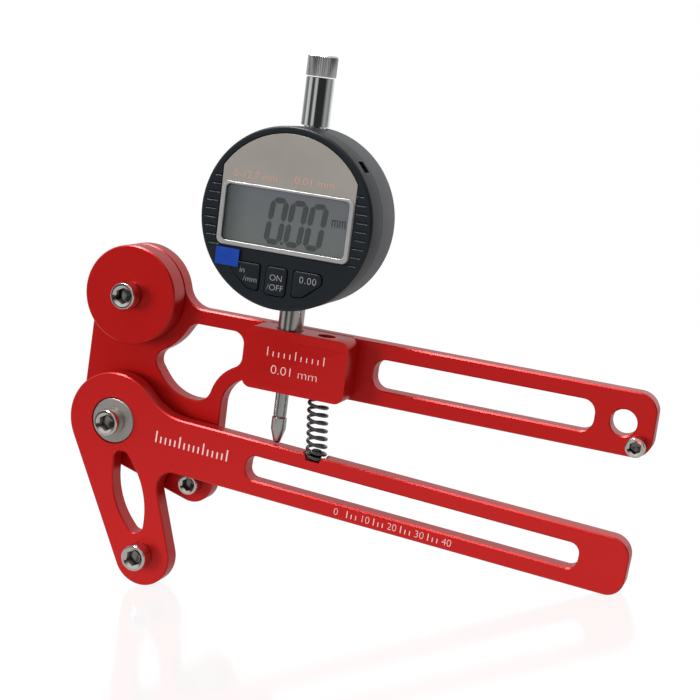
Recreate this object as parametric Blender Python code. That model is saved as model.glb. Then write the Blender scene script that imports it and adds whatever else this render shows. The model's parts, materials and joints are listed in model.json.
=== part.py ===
"""Electronic spoke tension meter: frame and lever plates, posts, spring and plunger indicator.

Lengths below are millimetres and become metres where a mesh is made.
Plate coordinates: x along the frame's handle, y away from the front, z square to the handle,
with the hinge at x = z = 0 and the lever's front face at y = 0.
"""
import bpy
import bmesh
from math import acos, asin, atan2, cos, degrees, hypot, pi, radians, sin, tan
from mathutils import Matrix, Vector

MM = 0.001
FIT_GAP = 0.3
ARC_STEP = 9.0
BIG_SIDES = 56
ROUND_SIDES = 28
SMALL_SIDES = 20
TINY_SIDES = 12
WIRE_POINTS = 10

# Plates, seen from the front
PLATE = 6.0
PLATE_GAP = 2.0
FRAME_FRONT = PLATE + PLATE_GAP
FRAME_BACK = FRAME_FRONT + PLATE
EDGE_CHAMFER = 0.4

# Frame plate
HEAD_CENTRE = (1.5, 42.45)
HEAD_RADIUS = 16.1
HINGE_BOSS_RADIUS = 16.0
FRAME_HANDLE_LOW = 20.8
FRAME_HANDLE_HIGH = 40.6
HANDLE_END = 173.3
FRAME_END_CORNER = 6.0
HANDLE_RIM = 5.0
NECK_RADIUS = 7.8
STRUT_X = 34.3
STRUT_FILLET = 10.0
OPENING_RIM = 5.0
OPENING_CORNERS = ((16.5, 28.0, 20.3), (7.7, 22.3, 4.0), (17.3, 9.85, 15.0), (29.0, 10.8, 5.0),
                   (31.9, 21.0, 14.6), (39.7, 25.0, 4.0))
OPENING_LEFT = (21.1, 4.0)
OPENING_RIGHT = (39.7, 4.0)
FOOT_CENTRE = (27.2, -16.7)
FOOT_RADIUS = 7.1
FRAME_SLOT = (84.5, 155.0)
FRAME_SLOT_CORNER = 4.0
HANG_HOLE = (163.9, 30.7)
HANG_HOLE_RADIUS = 4.05

# Gauge block on the frame
BLOCK_X = (44.6, 79.0)
BLOCK_FRONT = -2.0
BLOCK_BACK = FRAME_FRONT + PLATE / 2
BLOCK_CORNER = 3.0

# Lever plate, drawn with its handle level and then turned by LEVER_SLOPE
LEVER_SLOPE = 2.76
LEVER_HIGH = 6.0
LEVER_LOW = -12.0
LEVER_HEAD_RADIUS = 16.0
LEVER_BLEND = 20.0
LEVER_SLOT = (49.0, 158.5)
LEVER_SLOT_CORNER = 3.2
LEVER_END_CORNERS = (5.5, 6.0)
ARM_END = (17.5, -42.6)
ARM_END_RADIUS = 10.0
LOWER_POST = (17.0, -42.2)
ARM_SIDE_ANGLE = 20.6
NOTCH_RADIUS = 5.5
ARM_WINDOW = ((1.95, -9.8, 2.0), (6.3, -9.45, 2.0), (16.3, -19.8, 29.0),
              (16.3, -39.5, 2.8), (3.75, -26.95, 26.0))

# Screws: head radius, head height, key width, shank radius
M5 = (4.3, 5.0, 4.0, 2.5)
M4 = (3.45, 4.0, 3.0, 2.0)
REST_STOP = (27.4, -17.1)
SQUEEZE_STOP = (168.9, 24.7)
HEAD_EDGE = 0.35
SOCKET_DEPTH = 0.55
TIP_INSET = 0.5
SPOT_FACE = (4.7, 0.2)

# Hinge
BUSH_FLANGE = (7.5, 1.8)
BUSH_SLEEVE_RADIUS = 4.0
RUNNING_GAP = 0.09
BUSH_SIDES = 40
WASHER_RADIUS = 6.5
NUT_WIDTH = 8.0
NUT_THICK = 4.0

# Indicator
GAUGE_X = 57.1
GAUGE_Z = 76.3
STEM_Y = 3.0
STEM_RADIUS = 4.0
STEM_LOW = 24.0
BEZEL_RADIUS = 27.9
BEZEL_FRONT = -12.8
BEZEL_BACK = -3.5
PRY_ANGLE = 42.0
HOUSING_RADIUS = 27.6
HOUSING_BACK = 9.8
COVER_RECESS = 1.8
HATCH_OFFSET = 12.0
HATCH_RADIUS = 8.0
COVER_SCREW = (0.8, 1.6)
COVER_SCREW_HEAD = 1.0
COVER_SCREW_REACH = 1.6
COVER_SCREW_INSET = 2.3
SHELL_WALL = 2.4
FACE_THICK = 2.0
FASCIA_HALF = 21.7
FASCIA_LOW = -10.5
FASCIA_RADIUS = 25.6
FASCIA_CORNER = 2.2
WINDOW_X = (-20.1, 20.1)
WINDOW_Z = (-9.0, 8.2)
WINDOW_CORNER = 1.4
TRIM_X = (-21.5, 21.5)
TRIM_Z = (-10.4, 9.0)
TRIM_CORNER = 2.0
TRIM_PROUD = 0.3
FASCIA_THICK = 0.6
PANEL_THICK = 1.6
TAB_X = (-20.9, -13.1)
TAB_Z = (-16.6, -11.2)
TAB_THICK = 0.25
BOARD_RADIUS = 24.6
BOARD_Y = (-6.1, -4.9)
CELL_RADIUS = 7.4
CELL_Y = (4.2, 7.4)
KEY_CENTRE = -0.5
KEY_HIGH = -14.8
KEY_LOW = -23.4
KEY_HALF_WIDTH = 3.4
KEY_CORNER = 1.2
SIDE_KEY_X = (5.5, 9.2, 15.0)
SIDE_KEY_LOW = (-22.9, -22.3, -17.6)
SIDE_KEY_CORNERS = (1.0, 2.0, 1.6)
SIDE_KEY_LEAN = 0.6
KEY_PROUD = 0.5
KEY_DEPTH = 3.5
TUBE_RADIUS = 4.4
TUBE_SPIGOT = 3.4
TUBE_BORE = 2.8
TUBE_HIGH = 119.2
CAP_RADIUS = 4.65
CAP_HIGH = 126.0
CAP_RIDGES = 30
CAP_GROOVE = 0.3

# Plunger
ROD_RADIUS = 2.1
POINT_RADIUS = 2.4
POINT_HIGH = 12.4
POINT_LOW = 3.55
POINT_TIP_RADIUS = 1.3
POINT_TAPER = 4.4
ROD_HIGH = 111.0
GUIDE_Z = (14.5, 20.0)
GUIDE_BLOCK = (5.0, 3.6, 0.6)
SCALE_Z = (57.0, 82.0)
SCALE_HALF_WIDTH = 2.6
SCALE_THICK = 0.8

# Small spring that pushes the plunger out, beside it in the housing
RETURN_WIRE = 0.5
RETURN_MEAN = 1.6
RETURN_PITCH = 1.8
RETURN_TURNS = 10
RETURN_X = -9.0
RETURN_LOW = -12.0

# Handle spring
SPRING_WIRE = 1.1
SPRING_MEAN = 2.95
SPRING_Y = 3.0
SPRING_TOP = (69.5, 28.7)
SPRING_STRAIGHT = 20.8
SPRING_SEAT = (70.9, 1.0)
SPRING_TURNS = 11.5
SPRING_POCKET = 29.0
SPRING_END_SPACE = 0.48
GUIDE_RADIUS = 2.6
GUIDE_POINT = (1.8, 24.5)
GUIDE_INSET = 4.0
GUIDE_KEY = 2.5
SEAT_PIN_RADIUS = 1.8
SEAT_PIN_DEPTH = 3.9
SEAT_PIN_RISE = 1.5

RED = (0.48, 0.025, 0.022, 1)
DARK_RED = (0.42, 0.02, 0.018, 1)
STEEL = (0.55, 0.53, 0.50, 1)
GREY_STEEL = (0.20, 0.19, 0.18, 1)
CHROME = (0.75, 0.75, 0.76, 1)
SPRING_STEEL = (0.06, 0.06, 0.06, 1)
BLACK = (0.012, 0.014, 0.018, 1)
HOUSING_GREY = (0.10, 0.10, 0.11, 1)
TAUPE = (0.30, 0.27, 0.24, 1)
CLEAR = (0.45, 0.48, 0.47, 1)
DISPLAY = (0.14, 0.16, 0.15, 1)
BOARD_GREEN = (0.02, 0.12, 0.04, 1)
FILM_BLUE = (0.02, 0.07, 0.40, 1)


def clear_scene():
    for item in list(bpy.data.objects):
        bpy.data.objects.remove(item, do_unlink=True)


def make_material(name, colour, roughness, metallic):
    material = bpy.data.materials.new(name)
    material.use_nodes = True
    shader = material.node_tree.nodes["Principled BSDF"]
    shader.inputs["Base Color"].default_value = colour
    shader.inputs["Roughness"].default_value = roughness
    shader.inputs["Metallic"].default_value = metallic
    return material


def make_empty(name, place, parent):
    empty = bpy.data.objects.new(name, None)
    empty.location = Vector(place) * MM
    empty.parent = parent
    bpy.context.scene.collection.objects.link(empty)
    return empty


def link_mesh(name, mesh):
    piece = bpy.data.objects.new(name, mesh)
    bpy.context.scene.collection.objects.link(piece)
    return piece


# Outlines: lists of (x, z) points in plate coordinates

def arc(centre, radius, start, end):
    """Points on a circle from start to end degrees, both ends included."""
    count = max(2, int(abs(end - start) / ARC_STEP + 0.999))
    points = []
    for i in range(count + 1):
        angle = radians(start + (end - start) * i / count)
        points.append((centre[0] + radius * cos(angle), centre[1] + radius * sin(angle)))
    return points


def fillet(before, corner, after, radius):
    """Round one corner between its neighbours."""
    point = Vector(corner)
    back = (Vector(before) - point).normalized()
    ahead = (Vector(after) - point).normalized()
    half = acos(max(-1.0, min(1.0, back.dot(ahead)))) / 2
    reach = radius / tan(half)
    centre = point + (back + ahead).normalized() * (radius / sin(half))
    first = point + back * reach - centre
    last = point + ahead * reach - centre
    start = degrees(atan2(first.y, first.x))
    turn = (degrees(atan2(last.y, last.x)) - start + 180) % 360 - 180
    return arc(centre, radius, start, start + turn)


def outline(items):
    """Join (x, z, radius) corners and plain (x, z) points into one closed outline."""
    points = []
    for i, item in enumerate(items):
        if len(item) == 2 or item[2] == 0:
            points.append((item[0], item[1]))
            continue
        before = items[i - 1][:2]
        after = items[(i + 1) % len(items)][:2]
        points += fillet(before, item[:2], after, item[2])
    return points


def box_outline(x_range, z_range, radius):
    left, right = x_range
    low, high = z_range
    return outline([(left, low, radius), (right, low, radius),
                    (right, high, radius), (left, high, radius)])


def circle_outline(centre, radius, sides):
    return [(centre[0] + radius * cos(2 * pi * i / sides),
             centre[1] + radius * sin(2 * pi * i / sides)) for i in range(sides)]


def hexagon(centre, width):
    return circle_outline(centre, width / 2 / cos(pi / 6), 6)


def grown(points, distance):
    """Move every edge of an outline outward by distance, or inward where it is negative."""
    count = len(points)
    area = sum(points[i - 1][0] * points[i][1] - points[i][0] * points[i - 1][1] for i in range(count))
    side = 1 if area > 0 else -1
    moved = []
    for i in range(count):
        point = Vector(points[i])
        back = (point - Vector(points[i - 1])).normalized()
        ahead = (Vector(points[(i + 1) % count]) - point).normalized()
        normal = Vector((back.y + ahead.y, -back.x - ahead.x)).normalized() * side
        square = normal.dot(Vector((back.y, -back.x)) * side)
        moved.append(tuple(point + normal * (distance / square)))
    return moved


def tangent_angle(first, first_radius, second, second_radius, side):
    """Direction in degrees of the normal where one straight edge touches both circles."""
    span = (second[0] - first[0], second[1] - first[1])
    lean = asin((first_radius - second_radius) / hypot(*span))
    return degrees(atan2(span[1], span[0]) + side * (pi / 2 - lean))


# Solids

def loft(name, rings):
    """Closed solid through a row of matching outlines, each given with its y."""
    mesh = bpy.data.meshes.new(name)
    form = bmesh.new()
    rows = [[form.verts.new((x * MM, y * MM, z * MM)) for x, z in points] for points, y in rings]
    count = len(rows[0])
    for first, second in zip(rows, rows[1:]):
        for i in range(count):
            j = (i + 1) % count
            form.faces.new((first[i], first[j], second[j], second[i]))
    form.faces.new(rows[0])
    form.faces.new(rows[-1])
    bmesh.ops.recalc_face_normals(form, faces=form.faces)
    form.to_mesh(mesh)
    form.free()
    return link_mesh(name, mesh)


def prism(name, points, y_start, y_end, edge=0.0):
    """Extrude an (x, z) outline from y_start to y_end, with chamfered rims where edge is given."""
    if edge == 0:
        return loft(name, [(points, y_start), (points, y_end)])
    small = grown(points, -edge)
    return loft(name, [(small, y_start), (points, y_start + edge),
                       (points, y_end - edge), (small, y_end)])


def upright(name, points, centre, z_start, z_end):
    """Extrude an outline along z, its own (x, z) read as (x, y) about centre."""
    piece = prism(name, points, 0, z_end - z_start)
    stand = Matrix(((1, 0, 0, 0), (0, 0, -1, 0), (0, 1, 0, 0), (0, 0, 0, 1)))
    piece.data.transform(stand)
    piece.data.transform(Matrix.Translation(Vector((centre[0], centre[1], z_start)) * MM))
    return piece


def turned(name, profile, sides, centre, axis):
    """Spin a closed (radius, along) profile round a line through centre along y or z."""
    mesh = bpy.data.meshes.new(name)
    form = bmesh.new()
    rows = []
    for radius, along in profile:
        if radius == 0:
            rows.append([form.verts.new(spun(0, 0, along, axis, centre))])
            continue
        row = [form.verts.new(spun(radius, 2 * pi * i / sides, along, axis, centre))
               for i in range(sides)]
        rows.append(row)
    for first, second in zip(rows, rows[1:] + rows[:1]):
        if len(first) == 1 and len(second) == 1:
            continue
        for i in range(sides):
            j = (i + 1) % sides
            if len(first) == 1:
                form.faces.new((first[0], second[j], second[i]))
            elif len(second) == 1:
                form.faces.new((first[i], first[j], second[0]))
            else:
                form.faces.new((first[i], first[j], second[j], second[i]))
    bmesh.ops.recalc_face_normals(form, faces=form.faces)
    form.to_mesh(mesh)
    form.free()
    return link_mesh(name, mesh)


def spun(radius, angle, along, axis, centre):
    across = radius * cos(angle)
    aside = radius * sin(angle)
    if axis == "y":
        return Vector((centre[0] + across, along, centre[1] + aside)) * MM
    return Vector((centre[0] + across, centre[1] + aside, along)) * MM


def boolean(piece, other, operation):
    """Cut or join with another solid, then take that solid away."""
    modifier = piece.modifiers.new(operation.lower(), "BOOLEAN")
    modifier.operation = operation
    modifier.object = other
    modifier.solver = "EXACT"
    bpy.context.view_layer.objects.active = piece
    bpy.ops.object.modifier_apply(modifier=modifier.name)
    bpy.data.objects.remove(other, do_unlink=True)


def cut_outline(piece, points, y_start, y_end, edge=0.0):
    """Cut an outline through; edge chamfers the rims of an opening in a plate that wide."""
    if edge == 0:
        cutter = prism("cutter", points, y_start - 1, y_end + 1)
    else:
        wide = grown(points, edge + 1)
        cutter = loft("cutter", [(wide, y_start - 1), (points, y_start + edge),
                                 (points, y_end - edge), (wide, y_end + 1)])
    boolean(piece, cutter, "DIFFERENCE")


def cut_round(piece, centre, radius, y_start, y_end, edge=0.0, sides=ROUND_SIDES):
    cut_outline(piece, circle_outline(centre, radius, sides), y_start, y_end, edge)


def cut_pocket(piece, points, y_start, y_end):
    boolean(piece, prism("cutter", points, y_start, y_end), "DIFFERENCE")


def cut_upright(piece, centre, radius, z_start, z_end, sides=SMALL_SIDES):
    hole = upright("cutter", circle_outline((0, 0), radius, sides), centre, z_start, z_end)
    boolean(piece, hole, "DIFFERENCE")


def finish(piece, material, parent, smooth=True):
    """Set the material and parent, and put the origin at the middle of the piece."""
    corners = [Vector(corner) for corner in piece.bound_box]
    middle = (corners[0] + corners[6]) / 2
    piece.data.transform(Matrix.Translation(-middle))
    piece.location = middle - parent.location
    piece.parent = parent
    piece.data.materials.clear()
    piece.data.materials.append(material)
    if smooth:
        piece.data.shade_smooth()
        piece.data.set_sharp_from_angle(angle=radians(30))
    return piece


# Frame

def frame_outline():
    boss = (0.0, 0.0)
    left = tangent_angle(HEAD_CENTRE, HEAD_RADIUS, boss, HINGE_BOSS_RADIUS, -1) % 360
    under = tangent_angle(boss, HINGE_BOSS_RADIUS, FOOT_CENTRE, FOOT_RADIUS, -1) % 360
    neck_z = FRAME_HANDLE_HIGH + NECK_RADIUS
    neck_drop = neck_z - HEAD_CENTRE[1]
    neck_run = ((HEAD_RADIUS + NECK_RADIUS) ** 2 - neck_drop ** 2) ** 0.5
    neck = (HEAD_CENTRE[0] + neck_run, neck_z)
    neck_angle = degrees(atan2(neck_drop, neck_run))
    items = [(HANDLE_END, FRAME_HANDLE_LOW, FRAME_END_CORNER),
             (HANDLE_END, FRAME_HANDLE_HIGH, FRAME_END_CORNER)]
    items += arc(neck, NECK_RADIUS, 270, 180 + neck_angle)
    items += arc(HEAD_CENTRE, HEAD_RADIUS, neck_angle, left)[1:]
    items += arc(boss, HINGE_BOSS_RADIUS, left, under)
    items += arc(FOOT_CENTRE, FOOT_RADIUS, under, 360)
    items += [(STRUT_X, FRAME_HANDLE_LOW, STRUT_FILLET)]
    return outline(items)


def frame_opening():
    """Opening between head, neck, strut and hinge boss."""
    high = FRAME_HANDLE_HIGH - OPENING_RIM
    left, left_radius = OPENING_LEFT
    right, right_radius = OPENING_RIGHT
    return outline([(left, high, left_radius), *OPENING_CORNERS, (right, high, right_radius)])


def make_frame_plate(material, parent):
    plate = prism("frame_plate", frame_outline(), FRAME_FRONT, FRAME_BACK, EDGE_CHAMFER)
    block_shape = box_outline(BLOCK_X, (FRAME_HANDLE_LOW, FRAME_HANDLE_HIGH), BLOCK_CORNER)
    block = prism("block", block_shape, BLOCK_FRONT, BLOCK_BACK, EDGE_CHAMFER)
    boolean(plate, block, "UNION")
    slot_z = (FRAME_HANDLE_LOW + HANDLE_RIM, FRAME_HANDLE_HIGH - HANDLE_RIM)
    through = (FRAME_FRONT, FRAME_BACK, EDGE_CHAMFER)
    cut_outline(plate, frame_opening(), *through)
    cut_outline(plate, box_outline(FRAME_SLOT, slot_z, FRAME_SLOT_CORNER), *through)
    cut_round(plate, HANG_HOLE, HANG_HOLE_RADIUS, *through)
    cut_round(plate, (0, 0), M5[3] + FIT_GAP, *through)
    cut_round(plate, HEAD_CENTRE, M5[3] + FIT_GAP, *through)
    cut_round(plate, REST_STOP, M4[3] + FIT_GAP, *through)
    cut_round(plate, SQUEEZE_STOP, M4[3] + FIT_GAP, *through)
    clamp = (GAUGE_X, (FRAME_HANDLE_LOW + FRAME_HANDLE_HIGH) / 2)
    cut_pocket(plate, circle_outline(clamp, M4[3] + FIT_GAP, SMALL_SIDES), STEM_Y, FRAME_BACK + 1)
    stem = (GAUGE_X, STEM_Y)
    cut_upright(plate, stem, STEM_RADIUS + FIT_GAP, FRAME_HANDLE_LOW - 1, FRAME_HANDLE_HIGH + 1)
    spring = (SPRING_TOP[0], SPRING_Y)
    cut_upright(plate, spring, SPRING_MEAN + SPRING_WIRE / 2 + FIT_GAP, FRAME_HANDLE_LOW - 1,
                SPRING_POCKET)
    cut_upright(plate, spring, GUIDE_RADIUS + FIT_GAP, SPRING_POCKET - 1, FRAME_HANDLE_HIGH + 1)
    return finish(plate, material, parent)


def make_spacer_disc(material, parent):
    """Disc under the upper post, spot-faced for the post's head; the spoke lies on its front."""
    bore = M5[3] + FIT_GAP
    seat, depth = SPOT_FACE
    high = HEAD_RADIUS - EDGE_CHAMFER
    back = FRAME_FRONT - FIT_GAP
    profile = [(bore, depth), (seat, depth), (seat, 0), (high, 0), (HEAD_RADIUS, EDGE_CHAMFER),
               (HEAD_RADIUS, back - EDGE_CHAMFER), (high, back), (bore, back)]
    return finish(turned("spacer_disc", profile, BIG_SIDES, HEAD_CENTRE, "y"), material, parent)


# Lever

def lever_outline():
    blend_z = LEVER_HIGH + LEVER_BLEND
    blend_x = ((LEVER_HEAD_RADIUS + LEVER_BLEND) ** 2 - blend_z ** 2) ** 0.5
    blend_angle = degrees(atan2(blend_z, blend_x))
    left = tangent_angle((0, 0), LEVER_HEAD_RADIUS, ARM_END, ARM_END_RADIUS, -1) % 360
    side = radians(ARM_SIDE_ANGLE)
    touch = (ARM_END[0] + ARM_END_RADIUS * cos(side), ARM_END[1] + ARM_END_RADIUS * sin(side))
    notch_x = touch[0] - (LEVER_LOW - touch[1]) * tan(side)
    items = [(HANDLE_END, LEVER_LOW, LEVER_END_CORNERS[0]),
             (HANDLE_END, LEVER_HIGH, LEVER_END_CORNERS[1])]
    items += arc((blend_x, blend_z), LEVER_BLEND, 270, 180 + blend_angle)
    items += arc((0, 0), LEVER_HEAD_RADIUS, blend_angle, left)[1:]
    items += arc(ARM_END, ARM_END_RADIUS, left, 360 + ARM_SIDE_ANGLE)
    items += [(notch_x, LEVER_LOW, NOTCH_RADIUS)]
    return outline(items)


def make_lever_plate(material, parent):
    plate = prism("lever_plate", lever_outline(), 0, PLATE, EDGE_CHAMFER)
    slot_z = (LEVER_LOW + HANDLE_RIM, LEVER_HIGH - HANDLE_RIM)
    through = (0, PLATE, EDGE_CHAMFER)
    cut_outline(plate, box_outline(LEVER_SLOT, slot_z, LEVER_SLOT_CORNER), *through)
    cut_outline(plate, outline(list(ARM_WINDOW)), *through)
    cut_round(plate, LOWER_POST, M5[3] + FIT_GAP, *through)
    cut_round(plate, (0, 0), BUSH_SLEEVE_RADIUS + RUNNING_GAP, 0, PLATE)
    flange = circle_outline((0, 0), BUSH_FLANGE[0] + FIT_GAP, BUSH_SIDES)
    cut_pocket(plate, flange, -1, BUSH_FLANGE[1] + FIT_GAP)
    seat_x, seat_z = on_lever(SPRING_SEAT)
    seat = (seat_x, SPRING_Y)
    cut_upright(plate, seat, SPRING_MEAN + SPRING_WIRE / 2 + FIT_GAP, seat_z - FIT_GAP, LEVER_HIGH + 1)
    cut_upright(plate, seat, SEAT_PIN_RADIUS + FIT_GAP, LEVER_HIGH - SEAT_PIN_DEPTH - FIT_GAP, seat_z)
    return finish(plate, material, parent)


def on_lever(point):
    """Plate coordinates of the frame, seen from the lever at rest."""
    turn = radians(LEVER_SLOPE)
    x, z = point
    return (x * cos(turn) - z * sin(turn), x * sin(turn) + z * cos(turn))


# Screws

def cap_screw(name, size, centre, seat_y, tip_y, material, parent):
    """Socket head screw, its head standing in front of seat_y."""
    head, height, key, shank = size
    front = seat_y - height
    profile = [(0, front), (head - HEAD_EDGE, front), (head, front + HEAD_EDGE), (head, seat_y),
               (shank, seat_y), (shank, tip_y - HEAD_EDGE), (shank - HEAD_EDGE, tip_y), (0, tip_y)]
    screw = turned(name, profile, SMALL_SIDES, centre, "y")
    cut_pocket(screw, hexagon(centre, key), front - 1, front + height * SOCKET_DEPTH)
    return finish(screw, material, parent)


def set_screw(name, centre, radius, y_start, y_end, material, parent):
    screw = prism(name, circle_outline(centre, radius, SMALL_SIDES), y_start, y_end)
    cut_pocket(screw, hexagon(centre, radius), y_end - radius, y_end + 1)
    return finish(screw, material, parent)


def make_hinge(steel, grey_steel, parent):
    bore = M5[3] + FIT_GAP
    flange, depth = BUSH_FLANGE
    sleeve = BUSH_SLEEVE_RADIUS
    end = FRAME_FRONT - FIT_GAP
    bush = turned("pivot_bush", [(bore, 0), (flange, 0), (flange, depth), (sleeve, depth),
                                 (sleeve, end), (bore, end)], BUSH_SIDES, (0, 0), "y")
    finish(bush, grey_steel, parent)
    inner = sleeve + FIT_GAP
    start = PLATE + FIT_GAP
    washer = turned("pivot_washer", [(inner, start), (WASHER_RADIUS, start), (WASHER_RADIUS, end),
                                     (inner, end)], ROUND_SIDES, (0, 0), "y")
    finish(washer, steel, parent)
    nut_front = FRAME_BACK + FIT_GAP
    nut_back = nut_front + NUT_THICK
    nut = prism("pivot_nut", hexagon((0, 0), NUT_WIDTH), nut_front, nut_back)
    cut_round(nut, (0, 0), bore, nut_front, nut_back)
    finish(nut, steel, parent)
    cap_screw("pivot_screw", M5, (0, 0), -FIT_GAP, nut_back + TIP_INSET, steel, parent)


def make_fixed_screws(steel, parent):
    stop_seat = FRAME_FRONT - FIT_GAP
    tip = FRAME_BACK - TIP_INSET
    cap_screw("upper_post_screw", M5, HEAD_CENTRE, -FIT_GAP, tip, steel, parent)
    cap_screw("rest_stop_screw", M4, REST_STOP, stop_seat, tip, steel, parent)
    cap_screw("squeeze_stop_screw", M4, SQUEEZE_STOP, stop_seat, tip, steel, parent)
    clamp = (GAUGE_X, (FRAME_HANDLE_LOW + FRAME_HANDLE_HIGH) / 2)
    set_screw("stem_clamp_screw", clamp, M4[3], STEM_Y + STEM_RADIUS + FIT_GAP, tip, steel, parent)


# Handle spring, its pocket in each plate and what centres it

def spring_lean(z):
    """How far the centre line has bowed at z: 0 in the pocket, 1 at the lever's seat."""
    span = max(0, (SPRING_STRAIGHT - z) / (SPRING_STRAIGHT - SPRING_SEAT[1]))
    return span * span * (3 - 2 * span)


def spring_points():
    """Left-hand helix with a close coil at each end, its lower end lying along the lever."""
    close_pitch = SPRING_WIRE + SPRING_END_SPACE
    low = SPRING_SEAT[1] + SPRING_WIRE / 2
    high = SPRING_TOP[1] - SPRING_WIRE / 2
    open_turns = SPRING_TURNS - 2
    open_pitch = (high - low - 2 * close_pitch) / open_turns
    points = []
    for i in range(int(SPRING_TURNS * WIRE_POINTS) + 1):
        turn = i / WIRE_POINTS
        rise = min(turn, 1) * close_pitch
        rise += min(max(turn - 1, 0), open_turns) * open_pitch
        rise += max(turn - 1 - open_turns, 0) * close_pitch
        z = low + rise
        lean = spring_lean(z)
        middle = SPRING_TOP[0] + (SPRING_SEAT[0] - SPRING_TOP[0]) * lean
        across = SPRING_MEAN * cos(2 * pi * turn)
        drop = across * tan(radians(LEVER_SLOPE)) * lean
        points.append((middle + across, SPRING_Y - SPRING_MEAN * sin(2 * pi * turn), z - drop))
    return points


def least_gap(points, wire):
    """Smallest space between two stretches of wire at least half a turn apart."""
    vectors = [Vector(point) for point in points]
    closest = min((first - second).length for i, first in enumerate(vectors)
                  for second in vectors[i + WIRE_POINTS // 2:])
    return closest - wire


def make_wire(name, points, wire, fineness, material, parent):
    """One unbroken round wire through points."""
    curve = bpy.data.curves.new(name, "CURVE")
    curve.dimensions = "3D"
    curve.bevel_depth = wire / 2 * MM
    curve.bevel_resolution = fineness
    curve.use_fill_caps = True
    spline = curve.splines.new("POLY")
    spline.points.add(len(points) - 1)
    for spot, (x, y, z) in zip(spline.points, points):
        spot.co = (x * MM, y * MM, z * MM, 1)
    curve.materials.append(material)
    spring = bpy.data.objects.new(name, curve)
    bpy.context.scene.collection.objects.link(spring)
    spring.parent = parent
    return spring


def make_handle_spring(material, parent):
    points = spring_points()
    print("handle_spring least gap to itself: %.2f mm" % least_gap(points, SPRING_WIRE))
    return make_wire("handle_spring", points, SPRING_WIRE, 1, material, parent)


def make_spring_guide(material, parent):
    """Set screw in the block's top hole; its thin point stands inside the top coils."""
    centre = (SPRING_TOP[0], SPRING_Y)
    high = FRAME_HANDLE_HIGH - GUIDE_INSET
    shoulder = SPRING_POCKET + 0.5
    thin, low = GUIDE_POINT
    profile = [(0, low), (thin - 0.3, low), (thin, low + 0.3), (thin, shoulder),
               (GUIDE_RADIUS, shoulder), (GUIDE_RADIUS, high), (0, high)]
    screw = turned("spring_guide_screw", profile, SMALL_SIDES, centre, "z")
    key = upright("cutter", hexagon((0, 0), GUIDE_KEY), centre, high - GUIDE_KEY, high + 1)
    boolean(screw, key, "DIFFERENCE")
    return finish(screw, material, parent)


def make_seat_pin(material, parent):
    seat = on_lever(SPRING_SEAT)
    low = LEVER_HIGH - SEAT_PIN_DEPTH
    high = LEVER_HIGH + SEAT_PIN_RISE
    edge = 0.4
    profile = [(0, low), (SEAT_PIN_RADIUS, low), (SEAT_PIN_RADIUS, high - edge),
               (SEAT_PIN_RADIUS - edge, high), (0, high)]
    pin = turned("spring_seat_pin", profile, SMALL_SIDES, (seat[0], SPRING_Y), "z")
    return finish(pin, material, parent)


# Indicator, drawn about its own centre (0, 0) and moved to the gauge's place

def on_gauge(points):
    return [(x + GAUGE_X, z + GAUGE_Z) for x, z in points]


def fascia_points(grow):
    half = FASCIA_HALF + grow
    low = FASCIA_LOW - grow
    radius = FASCIA_RADIUS + grow
    corner = degrees(acos(half / radius))
    lower = [(-half, low, FASCIA_CORNER + grow), (half, low, FASCIA_CORNER + grow)]
    return outline(lower + arc((0, 0), radius, corner, 180 - corner))


def window_points(grow):
    return box_outline((WINDOW_X[0] - grow, WINDOW_X[1] + grow),
                       (WINDOW_Z[0] - grow, WINDOW_Z[1] + grow), WINDOW_CORNER + grow)


def trim_points(grow):
    return box_outline((TRIM_X[0] - grow, TRIM_X[1] + grow), (TRIM_Z[0] - grow, TRIM_Z[1] + grow),
                       TRIM_CORNER + grow)


def key_points(name, grow):
    """Outline of a key; the outer keys follow the bezel's rim."""
    if name == "power_button":
        half = KEY_HALF_WIDTH + grow
        return box_outline((KEY_CENTRE - half, KEY_CENTRE + half), (KEY_LOW - grow, KEY_HIGH + grow),
                           KEY_CORNER + grow)
    side = -1 if name == "mode_button" else 1
    inner, middle, outer = SIDE_KEY_X
    low, middle_low, outer_low = SIDE_KEY_LOW
    small, wide, top = SIDE_KEY_CORNERS
    corners = [(inner - grow, KEY_HIGH + grow, small), (inner - grow, low - grow, small),
               (middle + grow, middle_low - grow, wide), (outer + grow, outer_low, wide),
               (outer + grow - SIDE_KEY_LEAN, KEY_HIGH + grow, top)]
    placed = [(KEY_CENTRE + side * x, z, radius) for x, z, radius in corners]
    return outline(placed)


def make_bezel(material, parent):
    middle = (GAUGE_X, GAUGE_Z)
    inner = BEZEL_RADIUS - SHELL_WALL
    back_of_face = BEZEL_FRONT + FACE_THICK
    edge = 0.8
    seat = BEZEL_FRONT + FASCIA_THICK + FIT_GAP
    profile = [(0, BEZEL_FRONT), (BEZEL_RADIUS - edge, BEZEL_FRONT), (BEZEL_RADIUS, BEZEL_FRONT + edge),
               (BEZEL_RADIUS, BEZEL_BACK), (inner, BEZEL_BACK), (inner, back_of_face),
               (0, back_of_face)]
    bezel = turned("gauge_bezel", profile, BIG_SIDES, middle, "y")
    cut_outline(bezel, on_gauge(window_points(FIT_GAP)), BEZEL_FRONT, back_of_face)
    cut_pocket(bezel, on_gauge(fascia_points(FIT_GAP)), BEZEL_FRONT - 1, seat)
    for name in ("mode_button", "power_button", "zero_button"):
        cut_outline(bezel, on_gauge(key_points(name, FIT_GAP)), BEZEL_FRONT, back_of_face)
    boolean(bezel, pry_notch(), "DIFFERENCE")
    return finish(bezel, material, parent)


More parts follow.
